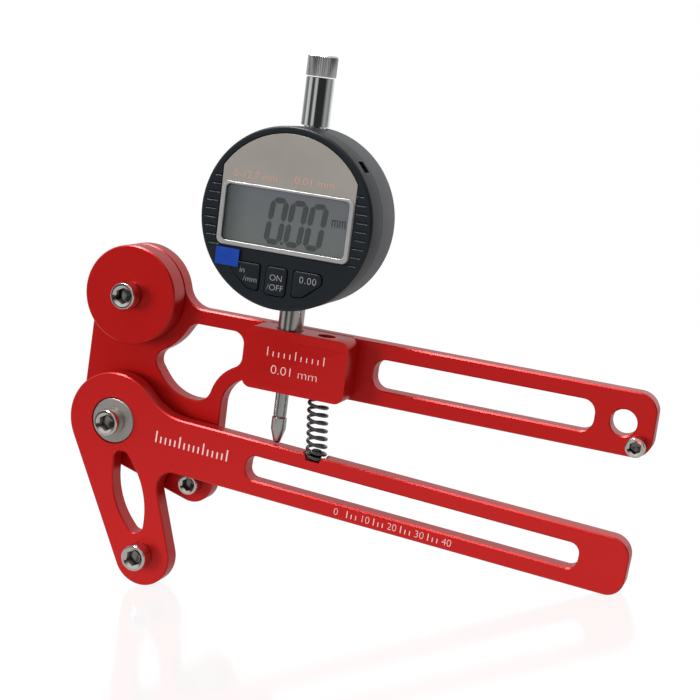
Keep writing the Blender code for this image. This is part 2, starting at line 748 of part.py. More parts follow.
def pry_notch():
    """Cutter for the notch in the rear rim where the bezel is pried off."""
    depth, half_width, length = 1.5, 2.3, 4.8
    shape = box_outline((-depth, depth), (-half_width, half_width), 0.3)
    notch = prism("cutter", shape, BEZEL_BACK - length, BEZEL_BACK + 1)
    place = Matrix.Translation(Vector((BEZEL_RADIUS, 0, 0)) * MM)
    turn = Matrix.Rotation(-radians(PRY_ANGLE), 4, "Y")
    centre = Matrix.Translation(Vector((GAUGE_X, 0, GAUGE_Z)) * MM)
    notch.data.transform(centre @ turn @ place)
    return notch


def make_housing(material, parent):
    middle = (GAUGE_X, GAUGE_Z)
    inner = HOUSING_RADIUS - SHELL_WALL
    front = BEZEL_BACK + FIT_GAP
    lip = 3.8
    edge = 0.6
    rim = HOUSING_BACK - COVER_RECESS
    shelf = rim - 1.2
    profile = [(inner, front), (HOUSING_RADIUS, front), (HOUSING_RADIUS, HOUSING_BACK - edge),
               (HOUSING_RADIUS - edge, HOUSING_BACK), (inner, HOUSING_BACK), (inner, rim),
               (inner - lip, rim), (inner - lip, shelf), (inner, shelf)]
    housing = turned("gauge_housing", profile, BIG_SIDES, middle, "y")
    axis = (GAUGE_X, STEM_Y)
    wall = (HOUSING_RADIUS - 2 * lip, HOUSING_RADIUS + SHELL_WALL)
    cut_upright(housing, axis, STEM_RADIUS + FIT_GAP, GAUGE_Z - wall[1], GAUGE_Z - wall[0])
    cut_upright(housing, axis, TUBE_SPIGOT + FIT_GAP, GAUGE_Z + wall[0], GAUGE_Z + wall[1])
    for spot in cover_screw_spots():
        hole = circle_outline(spot, COVER_SCREW[0] + FIT_GAP, TINY_SIDES)
        cut_pocket(housing, hole, rim - 3, HOUSING_BACK + 1)
    return finish(housing, material, parent)


def cover_screw_spots():
    radius = HOUSING_RADIUS - SHELL_WALL - COVER_SCREW_INSET
    angles = [radians(45 + 90 * i) for i in range(4)]
    return [(GAUGE_X + radius * cos(angle), GAUGE_Z + radius * sin(angle)) for angle in angles]


def make_rear_cover(material, cover_material, steel, parent):
    middle = (GAUGE_X, GAUGE_Z)
    radius = HOUSING_RADIUS - SHELL_WALL - FIT_GAP
    front = HOUSING_BACK - COVER_RECESS + FIT_GAP
    back = HOUSING_BACK - 0.1
    shank = COVER_SCREW[0]
    cover = prism("rear_cover", circle_outline(middle, radius, BIG_SIDES), front, back)
    hatch = (GAUGE_X + HATCH_OFFSET, GAUGE_Z)
    cut_round(cover, hatch, HATCH_RADIUS + FIT_GAP, front, back)
    for spot in cover_screw_spots():
        cut_round(cover, spot, shank + FIT_GAP, front, back, sides=TINY_SIDES)
    finish(cover, material, parent)
    lid = prism("battery_cover", circle_outline(hatch, HATCH_RADIUS, ROUND_SIDES), front, back)
    half_length, half_width, depth = 5.0, 0.7, 0.8
    coin_slot = box_outline((hatch[0] - half_length, hatch[0] + half_length),
                            (hatch[1] - half_width, hatch[1] + half_width), 0.5)
    cut_pocket(lid, coin_slot, back - depth, back + 1)
    finish(lid, cover_material, parent)
    for i, spot in enumerate(cover_screw_spots()):
        make_cover_screw("rear_cover_screw_%d" % (i + 1), spot, steel, parent)


def make_cover_screw(name, spot, steel, parent):
    """Low round-headed screw that reaches through the cover into the housing's shelf."""
    shank, head = COVER_SCREW
    seat = HOUSING_BACK + FIT_GAP
    top = seat + COVER_SCREW_HEAD
    tip = HOUSING_BACK - COVER_RECESS - COVER_SCREW_REACH
    profile = [(0, tip), (shank, tip), (shank, seat), (head, seat), (head, top - HEAD_EDGE),
               (head - HEAD_EDGE, top), (0, top)]
    finish(turned(name, profile, 16, spot, "y"), steel, parent)


def make_display(fascia_material, clear, glass, board_material, steel, film, parent):
    back = BEZEL_FRONT + FASCIA_THICK
    trim_front = BEZEL_FRONT - TRIM_PROUD
    fascia = prism("fascia_plate", on_gauge(fascia_points(0)), BEZEL_FRONT, back)
    cut_outline(fascia, on_gauge(trim_points(FIT_GAP)), BEZEL_FRONT, back)
    finish(fascia, fascia_material, parent)
    trim = prism("window_trim", on_gauge(trim_points(0)), trim_front, back)
    cut_outline(trim, on_gauge(window_points(0)), trim_front, back)
    finish(trim, steel, parent)
    pane = prism("display_window", on_gauge(window_points(-FIT_GAP)), BEZEL_FRONT, back)
    finish(pane, clear, parent)
    behind = back + FIT_GAP
    panel = prism("lcd_panel", on_gauge(window_points(0)), behind, behind + PANEL_THICK)
    finish(panel, glass, parent)
    board_shape = circle_outline((GAUGE_X, GAUGE_Z), BOARD_RADIUS, BIG_SIDES)
    board = prism("circuit_board", board_shape, *BOARD_Y)
    finish(board, board_material, parent)
    cell_shape = circle_outline((GAUGE_X + HATCH_OFFSET, GAUGE_Z), CELL_RADIUS, ROUND_SIDES)
    finish(prism("coin_cell", cell_shape, *CELL_Y), steel, parent)
    tab_back = BEZEL_FRONT - KEY_PROUD - FIT_GAP
    tab_shape = on_gauge(box_outline(TAB_X, TAB_Z, 0.2))
    tab = prism("film_tab", tab_shape, tab_back - TAB_THICK, tab_back)
    finish(tab, film, parent, smooth=False)


def make_key(name, material, parent):
    front = BEZEL_FRONT - KEY_PROUD
    points = on_gauge(key_points(name, 0))
    key = prism(name, points, front, front + KEY_DEPTH)
    return finish(key, material, parent)


def make_stem(material, parent):
    """Stem with a bore for the plunger."""
    bore = ROD_RADIUS + RUNNING_GAP
    edge = 0.4
    high = GAUGE_Z - HOUSING_RADIUS + SHELL_WALL + 1.2
    profile = [(bore, STEM_LOW), (STEM_RADIUS - edge, STEM_LOW), (STEM_RADIUS, STEM_LOW + edge),
               (STEM_RADIUS, high), (bore, high)]
    stem = turned("gauge_stem", profile, ROUND_SIDES, (GAUGE_X, STEM_Y), "z")
    return finish(stem, material, parent)


def make_dust_tube(tube_material, cap_material, parent):
    edge = 0.4
    low = GAUGE_Z + HOUSING_RADIUS + edge
    root = low - 4.4
    profile = [(TUBE_BORE, root), (TUBE_SPIGOT, root), (TUBE_SPIGOT, low), (TUBE_RADIUS, low),
               (TUBE_RADIUS, TUBE_HIGH - edge), (TUBE_RADIUS - edge, TUBE_HIGH), (TUBE_BORE, TUBE_HIGH)]
    tube = turned("dust_tube", profile, ROUND_SIDES, (GAUGE_X, STEM_Y), "z")
    finish(tube, tube_material, parent)
    star = []
    for i in range(CAP_RIDGES * 2):
        radius = CAP_RADIUS if i % 2 else CAP_RADIUS - CAP_GROOVE
        angle = pi * i / CAP_RIDGES
        star.append((radius * cos(angle), radius * sin(angle)))
    cap = upright("dust_cap", star, (GAUGE_X, STEM_Y), TUBE_HIGH + FIT_GAP, CAP_HIGH)
    return finish(cap, cap_material, parent)


# Plunger

def make_plunger(steel, dark, scale_material, parent):
    middle = (GAUGE_X, STEM_Y)
    rod_low = POINT_HIGH + FIT_GAP
    edge = 0.5
    profile = [(0, rod_low), (ROD_RADIUS, rod_low), (ROD_RADIUS, ROD_HIGH - edge),
               (ROD_RADIUS - edge, ROD_HIGH), (0, ROD_HIGH)]
    rod = turned("plunger_rod", profile, SMALL_SIDES, middle, "z")
    finish(rod, steel, parent)
    tip = POINT_TIP_RADIUS
    dome = [(tip * sin(radians(a)), POINT_LOW + tip - tip * cos(radians(a))) for a in (25, 50, 75)]
    profile = [(0, POINT_LOW)] + dome
    profile += [(POINT_RADIUS, POINT_LOW + POINT_TAPER), (POINT_RADIUS, POINT_HIGH), (0, POINT_HIGH)]
    point = turned("contact_point", profile, SMALL_SIDES, middle, "z")
    finish(point, dark, parent)
    back = STEM_Y - ROD_RADIUS - FIT_GAP
    sides = (GAUGE_X - SCALE_HALF_WIDTH, GAUGE_X + SCALE_HALF_WIDTH)
    shape = box_outline(sides, SCALE_Z, 0.4)
    finish(prism("encoder_scale", shape, back - SCALE_THICK, back), scale_material, parent)


def make_plunger_support(steel, brass, parent):
    """Guide inside the housing, and the small spring that pushes the plunger out."""
    low, high = GAUGE_Z + GUIDE_Z[0], GAUGE_Z + GUIDE_Z[1]
    axis = (GAUGE_X, STEM_Y)
    half_width, half_depth, corner = GUIDE_BLOCK
    shape = box_outline((-half_width, half_width), (-half_depth, half_depth), corner)
    guide = upright("plunger_guide", shape, axis, low, high)
    cut_upright(guide, axis, ROD_RADIUS + RUNNING_GAP, low - 1, high + 1)
    finish(guide, brass, parent)
    points = return_spring_points()
    print("plunger_spring least gap to itself: %.2f mm" % least_gap(points, RETURN_WIRE))
    make_wire("plunger_spring", points, RETURN_WIRE, 0, steel, parent)


def return_spring_points():
    points = []
    for i in range(RETURN_TURNS * WIRE_POINTS + 1):
        angle = 2 * pi * i / WIRE_POINTS
        points.append((GAUGE_X + RETURN_X + RETURN_MEAN * cos(angle), STEM_Y + RETURN_MEAN * sin(angle),
                       GAUGE_Z + RETURN_LOW + RETURN_PITCH * i / WIRE_POINTS))
    return points


# Stance

def stance_angle():
    """Tilt that brings the arm's end and the lever handle's lower corner to one level."""
    radius = LEVER_END_CORNERS[0]
    corner = (HANDLE_END - radius, LEVER_LOW + radius)
    span = (corner[0] - ARM_END[0], corner[1] - ARM_END[1])
    rise = atan2(span[1], span[0]) + asin((ARM_END_RADIUS - radius) / hypot(*span))
    return rise - radians(LEVER_SLOPE)


def world_bounds():
    graph = bpy.context.evaluated_depsgraph_get()
    low = Vector((1e9, 1e9, 1e9))
    high = -low
    for item in bpy.context.scene.objects:
        if item.type not in {"MESH", "CURVE"}:
            continue
        solid = item.evaluated_get(graph)
        mesh = solid.to_mesh()
        for vertex in mesh.vertices:
            spot = solid.matrix_world @ vertex.co
            low = Vector(map(min, low, spot))
            high = Vector(map(max, high, spot))
        solid.to_mesh_clear()
    return low, high


def stand_on_floor(root):
    """Put the middle of the bounding box's underside at the world's origin."""
    bpy.context.view_layer.update()
    low, high = world_bounds()
    root.location = (-(low.x + high.x) / 2, -(low.y + high.y) / 2, -low.z)
    bpy.context.view_layer.update()


def print_places(root):
    """World places that the record states."""
    plates = root.matrix_world
    places = {
        "hinge": (0, 0, 0),
        "plunger": (GAUGE_X, STEM_Y, POINT_LOW),
        "hang_hole": (HANG_HOLE[0], FRAME_FRONT, HANG_HOLE[1]),
        "spring_low": (SPRING_SEAT[0], SPRING_Y, SPRING_SEAT[1]),
        "spring_high": (SPRING_TOP[0], SPRING_Y, SPRING_TOP[1]),
    }
    for name, place in places.items():
        print(name, [round(value, 6) for value in plates @ (Vector(place) * MM)])
    print("plate x axis", [round(value, 6) for value in plates.to_3x3() @ Vector((1, 0, 0))])
    print("plate z axis", [round(value, 6) for value in plates.to_3x3() @ Vector((0, 0, 1))])


def main():
    clear_scene()
    anodised = make_material("anodised_frame", DARK_RED, 0.32, 0.6)
    anodised_lever = make_material("anodised_lever", RED, 0.32, 0.6)
    steel = make_material("steel", STEEL, 0.25, 1.0)
    grey_steel = make_material("grey_steel", GREY_STEEL, 0.45, 0.9)
    chrome = make_material("chrome", CHROME, 0.08, 1.0)
    spring_steel = make_material("spring_steel", SPRING_STEEL, 0.35, 0.9)
    black = make_material("black_plastic", BLACK, 0.5, 0.0)
    grey = make_material("grey_plastic", HOUSING_GREY, 0.45, 0.2)
    taupe = make_material("fascia", TAUPE, 0.4, 0.1)
    clear = make_material("clear_pane", CLEAR, 0.08, 0.0)
    display = make_material("display", DISPLAY, 0.3, 0.0)
    rubber = make_material("key_rubber", BLACK, 0.6, 0.0)
    board = make_material("board", BOARD_GREEN, 0.5, 0.0)
    film = make_material("blue_film", FILM_BLUE, 0.4, 0.0)
    brass = make_material("brass", (0.5, 0.36, 0.12, 1), 0.3, 1.0)

    root = make_empty("meter", (0, 0, 0), None)
    root.rotation_euler = (0, stance_angle(), 0)
    lever = make_empty("lever_axis", (0, 0, 0), root)
    lever.rotation_euler = (0, radians(LEVER_SLOPE), 0)
    plunger = make_empty("plunger_axis", (GAUGE_X, STEM_Y, 0), root)

    make_frame_plate(anodised, root)
    make_spacer_disc(anodised, root)
    make_fixed_screws(steel, root)
    make_hinge(steel, grey_steel, root)
    make_spring_guide(steel, root)
    make_handle_spring(spring_steel, root)

    make_lever_plate(anodised_lever, lever)
    make_seat_pin(steel, lever)
    cap_screw("lower_post_screw", M5, LOWER_POST, -FIT_GAP, PLATE - 0.2, steel, lever)

    make_bezel(black, root)
    make_housing(grey, root)
    make_rear_cover(grey, black, steel, root)
    make_display(taupe, clear, display, board, steel, film, root)
    for name in ("mode_button", "power_button", "zero_button"):
        make_key(name, rubber, root)
    make_stem(steel, root)
    make_dust_tube(chrome, chrome, root)
    make_plunger(steel, grey_steel, board, plunger)
    make_plunger_support(steel, brass, root)

    stand_on_floor(root)
    print_places(root)


main()
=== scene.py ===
import json
from math import acos, asin, atan2, cos, degrees, hypot, pi, radians, sin, tan

import bpy
from mathutils import Matrix, Vector


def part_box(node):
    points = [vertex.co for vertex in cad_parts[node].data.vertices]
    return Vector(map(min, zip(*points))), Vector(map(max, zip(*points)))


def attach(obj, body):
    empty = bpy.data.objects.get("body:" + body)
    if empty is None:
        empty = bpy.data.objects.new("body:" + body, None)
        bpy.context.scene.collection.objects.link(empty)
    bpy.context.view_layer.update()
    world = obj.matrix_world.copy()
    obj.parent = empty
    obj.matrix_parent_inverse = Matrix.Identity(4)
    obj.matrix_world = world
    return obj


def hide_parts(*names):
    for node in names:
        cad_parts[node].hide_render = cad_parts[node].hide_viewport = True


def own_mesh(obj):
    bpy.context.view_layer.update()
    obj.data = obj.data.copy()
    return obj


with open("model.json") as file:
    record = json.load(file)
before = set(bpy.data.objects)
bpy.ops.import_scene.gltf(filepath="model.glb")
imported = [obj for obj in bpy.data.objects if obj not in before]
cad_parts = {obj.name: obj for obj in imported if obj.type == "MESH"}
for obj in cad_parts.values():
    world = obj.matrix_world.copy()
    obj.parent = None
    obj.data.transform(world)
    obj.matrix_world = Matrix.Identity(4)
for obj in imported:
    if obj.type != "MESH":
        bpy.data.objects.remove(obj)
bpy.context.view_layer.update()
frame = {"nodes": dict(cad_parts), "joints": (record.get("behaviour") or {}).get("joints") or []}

# Electronic spoke tension meter. Pieces are modelled in millimetres about the hinge: x runs along
# the fixed handle, y away from the front, z square to the handle. finishPiece brings each one into
# the frame's metres.

joints = {joint["name"]: joint for joint in frame["joints"]}
hingePlace = joints["lever_hinge"]["pos_m"]
plateUp = Vector(joints["plunger_slide"]["axis"]).normalized()

meter = {
    "plate": 6.0,              # thickness of both red plates
    "plateGap": 2.0,
    "leverSlope": 2.76,        # degrees between the two handles at rest
    "leverSwing": 7.7,         # degrees the lever turns in the squeeze
    "chamfer": 0.4,
    "handleEnd": 173.3,
    "rim": 5.0,                # metal left round a slot
    "fitGap": 0.3,
    "gaugeX": 57.1,
    "gaugeZ": 76.3,
    "stemY": 3.0,
}
frameFront = meter["plate"] + meter["plateGap"]
frameBack = frameFront + meter["plate"]
stemAxis = (meter["gaugeX"], meter["stemY"])
roundStep = 3.5                # degrees between the points of a round stretch


def plateSpace():
    # from millimetres about the hinge to the frame's metres
    along = Vector((plateUp.z, 0, -plateUp.x))
    turn = Matrix((along, (0, 1, 0), plateUp)).transposed().to_4x4()
    place = Matrix.Translation((hingePlace[0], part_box("lever_plate")[0].y, hingePlace[2]))
    return place @ turn @ Matrix.Scale(0.001, 4)


fixedSpace = plateSpace()
leverSpace = fixedSpace @ Matrix.Rotation(radians(meter["leverSlope"]), 4, "Y")
gaugeSpace = fixedSpace @ Matrix.Translation((meter["gaugeX"], 0, meter["gaugeZ"]))


# Outlines, as lists of (x, z) points

def arcPoints(centre, radius, start, end):
    count = max(2, int(abs(end - start) / roundStep + 0.999))
    angles = [radians(start + (end - start) * i / count) for i in range(count + 1)]
    return [(centre[0] + radius * cos(angle), centre[1] + radius * sin(angle)) for angle in angles]


def roundedCorner(before, corner, after, radius):
    point = Vector(corner)
    back = (Vector(before) - point).normalized()
    ahead = (Vector(after) - point).normalized()
    half = acos(max(-1.0, min(1.0, back.dot(ahead)))) / 2
    reach = radius / tan(half)
    centre = point + (back + ahead).normalized() * (radius / sin(half))
    first = point + back * reach - centre
    last = point + ahead * reach - centre
    start = degrees(atan2(first.y, first.x))
    turn = (degrees(atan2(last.y, last.x)) - start + 180) % 360 - 180
    return arcPoints(centre, radius, start, start + turn)


def outlinePoints(corners):
    # corners are (x, z) or (x, z, radius)
    points = []
    for i, corner in enumerate(corners):
        if len(corner) == 2:
            points.append(corner)
            continue
        before = corners[i - 1][:2]
        after = corners[(i + 1) % len(corners)][:2]
        points += roundedCorner(before, corner[:2], after, corner[2])
    return points


def boxPoints(xRange, zRange, radius):
    left, right = xRange
    low, high = zRange
    return outlinePoints([(left, low, radius), (right, low, radius),
                          (right, high, radius), (left, high, radius)])


def circlePoints(centre, radius, sides=72):
    angles = [2 * pi * i / sides for i in range(sides)]
    return [(centre[0] + radius * cos(angle), centre[1] + radius * sin(angle)) for angle in angles]


def tangentAngle(first, firstRadius, second, secondRadius):
    # where a straight edge touches both circles, keeping them on its left
    span = (second[0] - first[0], second[1] - first[1])
    lean = asin((firstRadius - secondRadius) / hypot(*span))
    return degrees(atan2(span[1], span[0]) - pi / 2 + lean) % 360


def roundedRim(radius, face, size, angles=(30, 60, 90), back=False):
    # profile points round an outer edge, from the front face to the side or from the side to the back
    turns = [radians(angle) for angle in angles]
    if back:
        return [(radius - size + size * cos(turn), face - size + size * sin(turn)) for turn in turns]
    return [(radius - size + size * sin(turn), face + size - size * cos(turn)) for turn in turns]


# Modelling helpers

def dropSelection():
    for other in bpy.context.selected_objects:
        other.select_set(False)


def pick(piece):
    dropSelection()
    piece.select_set(True)
    bpy.context.view_layer.objects.active = piece


def startEdit(piece):
    pick(piece)
    bpy.ops.object.mode_set(mode="EDIT")
    bpy.ops.mesh.select_all(action="SELECT")


def endEdit():
    bpy.ops.object.mode_set(mode="OBJECT")


def weld(piece, distance=0.001):
    startEdit(piece)
    bpy.ops.mesh.remove_doubles(threshold=distance)
    bpy.ops.mesh.normals_make_consistent(inside=False)
    endEdit()
    return piece


def applyModifier(piece, kind, **settings):
    pick(piece)
    modifier = piece.modifiers.new(kind.lower(), kind)
    for name, value in settings.items():
        setattr(modifier, name, value)
    bpy.ops.object.modifier_apply(modifier=modifier.name)


def cutWith(piece, cutter):
    applyModifier(piece, "BOOLEAN", operation="DIFFERENCE", object=cutter, solver="EXACT")
    bpy.data.objects.remove(cutter)


def cutOut(piece, outline, front, back):
    cutWith(piece, flatPiece("opening", [outline], front, back))


def joinWith(piece, other):
    applyModifier(piece, "BOOLEAN", operation="UNION", object=other, solver="EXACT")
    bpy.data.objects.remove(other)


def placeObject(name, data):
    made = bpy.data.objects.new(name, data)
    bpy.context.scene.collection.objects.link(made)
    return made


def curveToMesh(name, curve):
    pick(placeObject(name, curve))
    bpy.ops.object.convert(target="MESH")
    return bpy.context.object


def addSpline(curve, places):
    spline = curve.splines.new("POLY")
    spline.points.add(len(places) - 1)
    for spot, place in zip(spline.points, places):
        spot.co = (*place, 1)
    return spline


def flatPiece(name, outlines, front, back, edge=0.0, edgeSteps=0):
    # a plate with its holes, drawn as a flat curve and given its thickness and chamfers
    curve = bpy.data.curves.new(name, "CURVE")
    curve.dimensions = "2D"
    curve.fill_mode = "BOTH"
    curve.extrude = (back - front) / 2 - edge
    curve.bevel_depth = edge
    curve.bevel_resolution = edgeSteps
    curve.offset = -edge
    for points in outlines:
        addSpline(curve, [(x, z, 0) for x, z in points]).use_cyclic_u = True
    piece = curveToMesh(name, curve)
    stand = Matrix.Translation((0, (front + back) / 2, 0)) @ Matrix.Rotation(radians(90), 4, "X")
    piece.data.transform(stand)
    return weld(piece)


def turnedPiece(name, profile, centre=(0, 0), axis="y", sides=72, tube=False):
    # rings of (radius, along), each pulled out of the last; a tube's profile comes back to its start
    dropSelection()
    rings = profile + [profile[0]] if tube else profile
    bpy.ops.mesh.primitive_circle_add(vertices=sides, radius=rings[0][0])
    piece = bpy.context.object
    piece.name = name
    startEdit(piece)
    bpy.ops.transform.translate(value=(0, 0, rings[0][1]))
    for (lastRadius, lastAlong), (radius, along) in zip(rings, rings[1:]):
        bpy.ops.mesh.extrude_edges_move(TRANSFORM_OT_translate={"value": (0, 0, along - lastAlong)})
        share = radius / lastRadius
        bpy.ops.transform.resize(value=(share, share, 1), center_override=(0, 0, 0))
    bpy.ops.mesh.select_all(action="SELECT")
    bpy.ops.mesh.remove_doubles(threshold=0.001)
    if not tube:
        bpy.ops.mesh.fill_holes(sides=0)
    endEdit()
    if axis == "y":
        piece.data.transform(Matrix.Rotation(radians(-90), 4, "X"))
        piece.data.transform(Matrix.Translation((centre[0], 0, centre[1])))
    else:
        piece.data.transform(Matrix.Translation((centre[0], centre[1], 0)))
    return weld(piece)


def uprightBar(centre, radius, low, high):
    return turnedPiece("bar", [(radius, low), (radius, high)], centre, "z", 48)


def hexBar(centre, width, front, back):
    corner = width / 2 / cos(pi / 6)
    return turnedPiece("hexBar", [(corner, front), (corner, back)], centre, "y", 6)


def finishPiece(piece, material, node=None, space=fixedSpace, body="frame", smooth=30):
    piece.data.transform(space)
    piece.data.materials.clear()
    piece.data.materials.append(material)
    pick(piece)
    bpy.ops.object.shade_smooth_by_angle(angle=radians(smooth))
    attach(piece, body)
    if node:
        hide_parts(node)


def dressNode(node, material):
    # a CAD node that is right as it stands gets its finish
    piece = frame["nodes"][node]
    if not piece.material_slots:
        piece.data.materials.append(material)
    for place in piece.material_slots:
        place.material = material


# Materials

class Shade:
    # one socket of a shader tree, with maths that adds its nodes
    def __init__(self, tree, socket):
        self.tree = tree
        self.socket = socket

    def node(self, kind, inputs, output=0, stops=None, **settings):
        made = self.tree.nodes.new(kind)
        for name, value in settings.items():
            setattr(made, name, value)
        if stops:
            # the first stop lies at 0, the last at 1
            ramp = made.color_ramp
            ramp.elements[0].color, ramp.elements[1].color = stops[0][1], stops[-1][1]
            for place, colour in stops[1:-1]:
                ramp.elements.new(place).color = colour
        for name, value in inputs.items():
            if isinstance(value, Shade):
                self.tree.links.new(value.socket, made.inputs[name])
            else:
                made.inputs[name].default_value = value
        return Shade(self.tree, made.outputs[output])

    def maths(self, operation, first, second=0.0):
        return self.node("ShaderNodeMath", {0: first, 1: second}, operation=operation)

    def __add__(self, other):
        return self.maths("ADD", self, other)

    def __sub__(self, other):
        return self.maths("SUBTRACT", self, other)

    def __rsub__(self, other):
        return self.maths("SUBTRACT", other, self)

    def __mul__(self, other):
        return self.maths("MULTIPLY", self, other)

    def noise(self, scale, detail=2.0, roughness=0.5):
        inputs = {"Vector": self, "Scale": scale, "Detail": detail, "Roughness": roughness}
        return self.node("ShaderNodeTexNoise", inputs)

    def stretched(self, scale):
        return self.node("ShaderNodeMapping", {"Vector": self, "Scale": scale})

    def dot(self, direction):
        inputs = {0: self, 1: direction}
        return self.node("ShaderNodeVectorMath", inputs, output=1, operation="DOT_PRODUCT")

    def rescaled(self, low, high):
        # 0 at low and 1 at high, held there outside
        return self.node("ShaderNodeMapRange", {"Value": self, "From Min": low, "From Max": high})

    def between(self, dark, light):
        # a colour between two, by this value
        inputs = {"Factor": self, 6: dark, 7: light}
        return self.node("ShaderNodeMix", inputs, output=2, data_type="RGBA")

    def tint(self, colour, dark, light):
        return self.between(shadeOf(colour, dark), shadeOf(colour, light))

    def bump(self, strength, distance):
        inputs = {"Height": self, "Strength": strength, "Distance": distance}
        return self.node("ShaderNodeBump", inputs)

    def feed(self, shader, name):
        self.tree.links.new(self.socket, shader.inputs[name])


def newSurface(name, **constants):
    # a Principled material with its constants set, and its Object coordinates
    material = bpy.data.materials.new(name)
    material.use_nodes = True
    tree = material.node_tree
    shader = tree.nodes["Principled BSDF"]
    for socket, value in constants.items():
        shader.inputs[socket.replace("_", " ")].default_value = value
    place = tree.nodes.new("ShaderNodeTexCoord")
    return material, shader, Shade(tree, place.outputs["Object"])


def shadeOf(colour, share):
    return tuple(channel * share for channel in colour[:3]) + (1,)


anodise = {
    "frame": (0.48, 0.007, 0.006, 1),
    "lever": (0.54, 0.012, 0.011, 1),
    "roughness": 0.31,
    "metal": 0.42,
    "gloss": 0.42,
}


def anodised(name, colour):
    # bead-blasted aluminium under a red dye: fine grain, faint clouds in the dye
    material, shader, place = newSurface(name, Specular_IOR_Level=anodise["gloss"])
    grain = place.noise(5200.0, 3.0, 0.7)
    cloud = place.noise(60.0)
    (grain * 0.6 + cloud * 0.4).tint(colour, 0.90, 1.10).feed(shader, "Base Color")
    (grain * 0.10 + anodise["roughness"] - 0.05).feed(shader, "Roughness")
    (cloud * 0.1 + anodise["metal"] - 0.05).feed(shader, "Metallic")
    grain.bump(0.22, 0.00002).feed(shader, "Normal")
    return material


def bareMetal(name, colour, roughness, hollowShade=None):
    # turned or drawn metal: fine lines, uneven polish, and, when asked, painted shade that darkens its
    # hollows down to a share of its colour
    material, shader, place = newSurface(name, Metallic=1.0)
    lines = place.stretched((1, 1, 12)).noise(1800.0, 2.0, 0.6)
    smudge = place.noise(220.0, 3.0)
    tint = (lines * 0.5 + smudge * 0.5).tint(colour, 0.85, 1.1)
    if hollowShade:
        # painted shade: ambient occlusion among the piece's own faces darkens the colour deep in hollows such
        # as hex sockets
        reach = {"Distance": 0.004}
        openness = place.node("ShaderNodeAmbientOcclusion", reach, output=1, only_local=True)
        tint = openness.rescaled(0.3, 0.8).between(shadeOf(colour, hollowShade), tint)
    tint.feed(shader, "Base Color")
    (lines * 0.08 + smudge * 0.10 + roughness - 0.09).feed(shader, "Roughness")
    lines.bump(0.12, 0.00001).feed(shader, "Normal")
    return material


def plasticSkin(name, colour, roughness, bump=0.3, metal=0.0, gloss=0.5):
    # moulded plastic with a fine spark-eroded texture
    material, shader, place = newSurface(name, Metallic=metal, Specular_IOR_Level=gloss)
    texture = place.noise(2600.0, 3.0, 0.6)
    cloud = place.noise(90.0)
    (texture * 0.4 + cloud * 0.6).tint(colour, 0.85, 1.15).feed(shader, "Base Color")
    (texture * 0.12 + cloud * 0.06 + roughness - 0.09).feed(shader, "Roughness")
    texture.bump(bump, 0.00003).feed(shader, "Normal")
    return material


def printedInk(name, colour):
    # screen print: matt, slightly uneven cover
    material, shader, place = newSurface(name)
    cover = place.noise(1500.0, 4.0, 0.7)
    cover.tint(colour, 0.8, 1.1).feed(shader, "Base Color")
    (cover * 0.2 + 0.5).feed(shader, "Roughness")
    return material


def clearPane(name):
    # hard clear window, mostly seen by its gloss
    material, shader, place = newSurface(name, Base_Color=(0.3, 0.32, 0.32, 1), IOR=1.49)
    haze = place.noise(120.0, 3.0)
    (haze * 0.03 + 0.03).feed(shader, "Alpha")
    (haze * 0.05 + 0.03).feed(shader, "Roughness")
    return material


display = {
    "low": (0.094, 0.108, 0.102, 1),
    "high": (0.094, 0.097, 0.112, 1),
    "rise": 0.0172,            # from the low tint to the high one
    "shaded": 0.0075,          # width of the painted shadow along its left edge
    # how dark the painted shadow gets, as a share of the low tint
    "shade": 0.25,
}


def displayFace(name, corner, along, upward):
    # reflective grey behind the liquid crystal, with a painted shadow along its left edge where the bezel's
    # rim would shade it
    material, shader, place = newSurface(name)
    speckle = place.noise(4200.0, 2.0, 0.8)
    foot, edge = corner.dot(upward), corner.dot(along)
    height = place.dot(upward).rescaled(foot, foot + display["rise"])
    # painted shadow: the colour darkens towards the display's left edge
    run = place.dot(along).rescaled(edge, edge + display["shaded"])
    shade = run.maths("POWER", run, 0.7)
    tint = (height + speckle * 0.16 - 0.08).between(display["low"], display["high"])
    shade.between(shadeOf(display["low"], display["shade"]), tint).feed(shader, "Base Color")
    (speckle * 0.1 + 0.4).feed(shader, "Roughness")
    return material


def filmSheet(name, colour):
    material, shader, place = newSurface(name, Coat_Weight=0.2)
    crease = place.noise(350.0)
    crease.tint(colour, 0.85, 1.15).feed(shader, "Base Color")
    (crease * 0.1 + 0.3).feed(shader, "Roughness")
    crease.bump(0.2, 0.0002).feed(shader, "Normal")
    return material


redFrame = anodised("red anodised frame", anodise["frame"])
redLever = anodised("red anodised lever", anodise["lever"])
brightSteel = bareMetal("bright steel", (0.72, 0.69, 0.65, 1), 0.15)
# the screw heads get painted shade in their hex sockets
screwSteel = bareMetal("screw steel", (0.66, 0.63, 0.59, 1), 0.15, hollowShade=0.12)
groundSteel = bareMetal("ground steel", (0.44, 0.435, 0.42, 1), 0.2)
greySteel = bareMetal("grey steel", (0.54, 0.51, 0.48, 1), 0.5)
pointSteel = bareMetal("contact point steel", (0.50, 0.49, 0.48, 1), 0.3)
knurledChrome = bareMetal("knurled chrome", (0.66, 0.66, 0.66, 1), 0.34)
chrome = bareMetal("polished chrome", (0.72, 0.73, 0.74, 1), 0.07)
springWire = bareMetal("oiled spring wire", (0.13, 0.13, 0.126, 1), 0.26)
blackScrew = bareMetal("blackened screw steel", (0.05, 0.05, 0.052, 1), 0.35)
brass = bareMetal("turned brass", (0.52, 0.38, 0.14, 1), 0.25)
bezelPlastic = plasticSkin("dark bezel plastic", (0.007, 0.0095, 0.0125, 1), 0.42, gloss=0.3)
housingPlastic = plasticSkin("grey housing", (0.105, 0.110, 0.122, 1), 0.5, gloss=0.25)
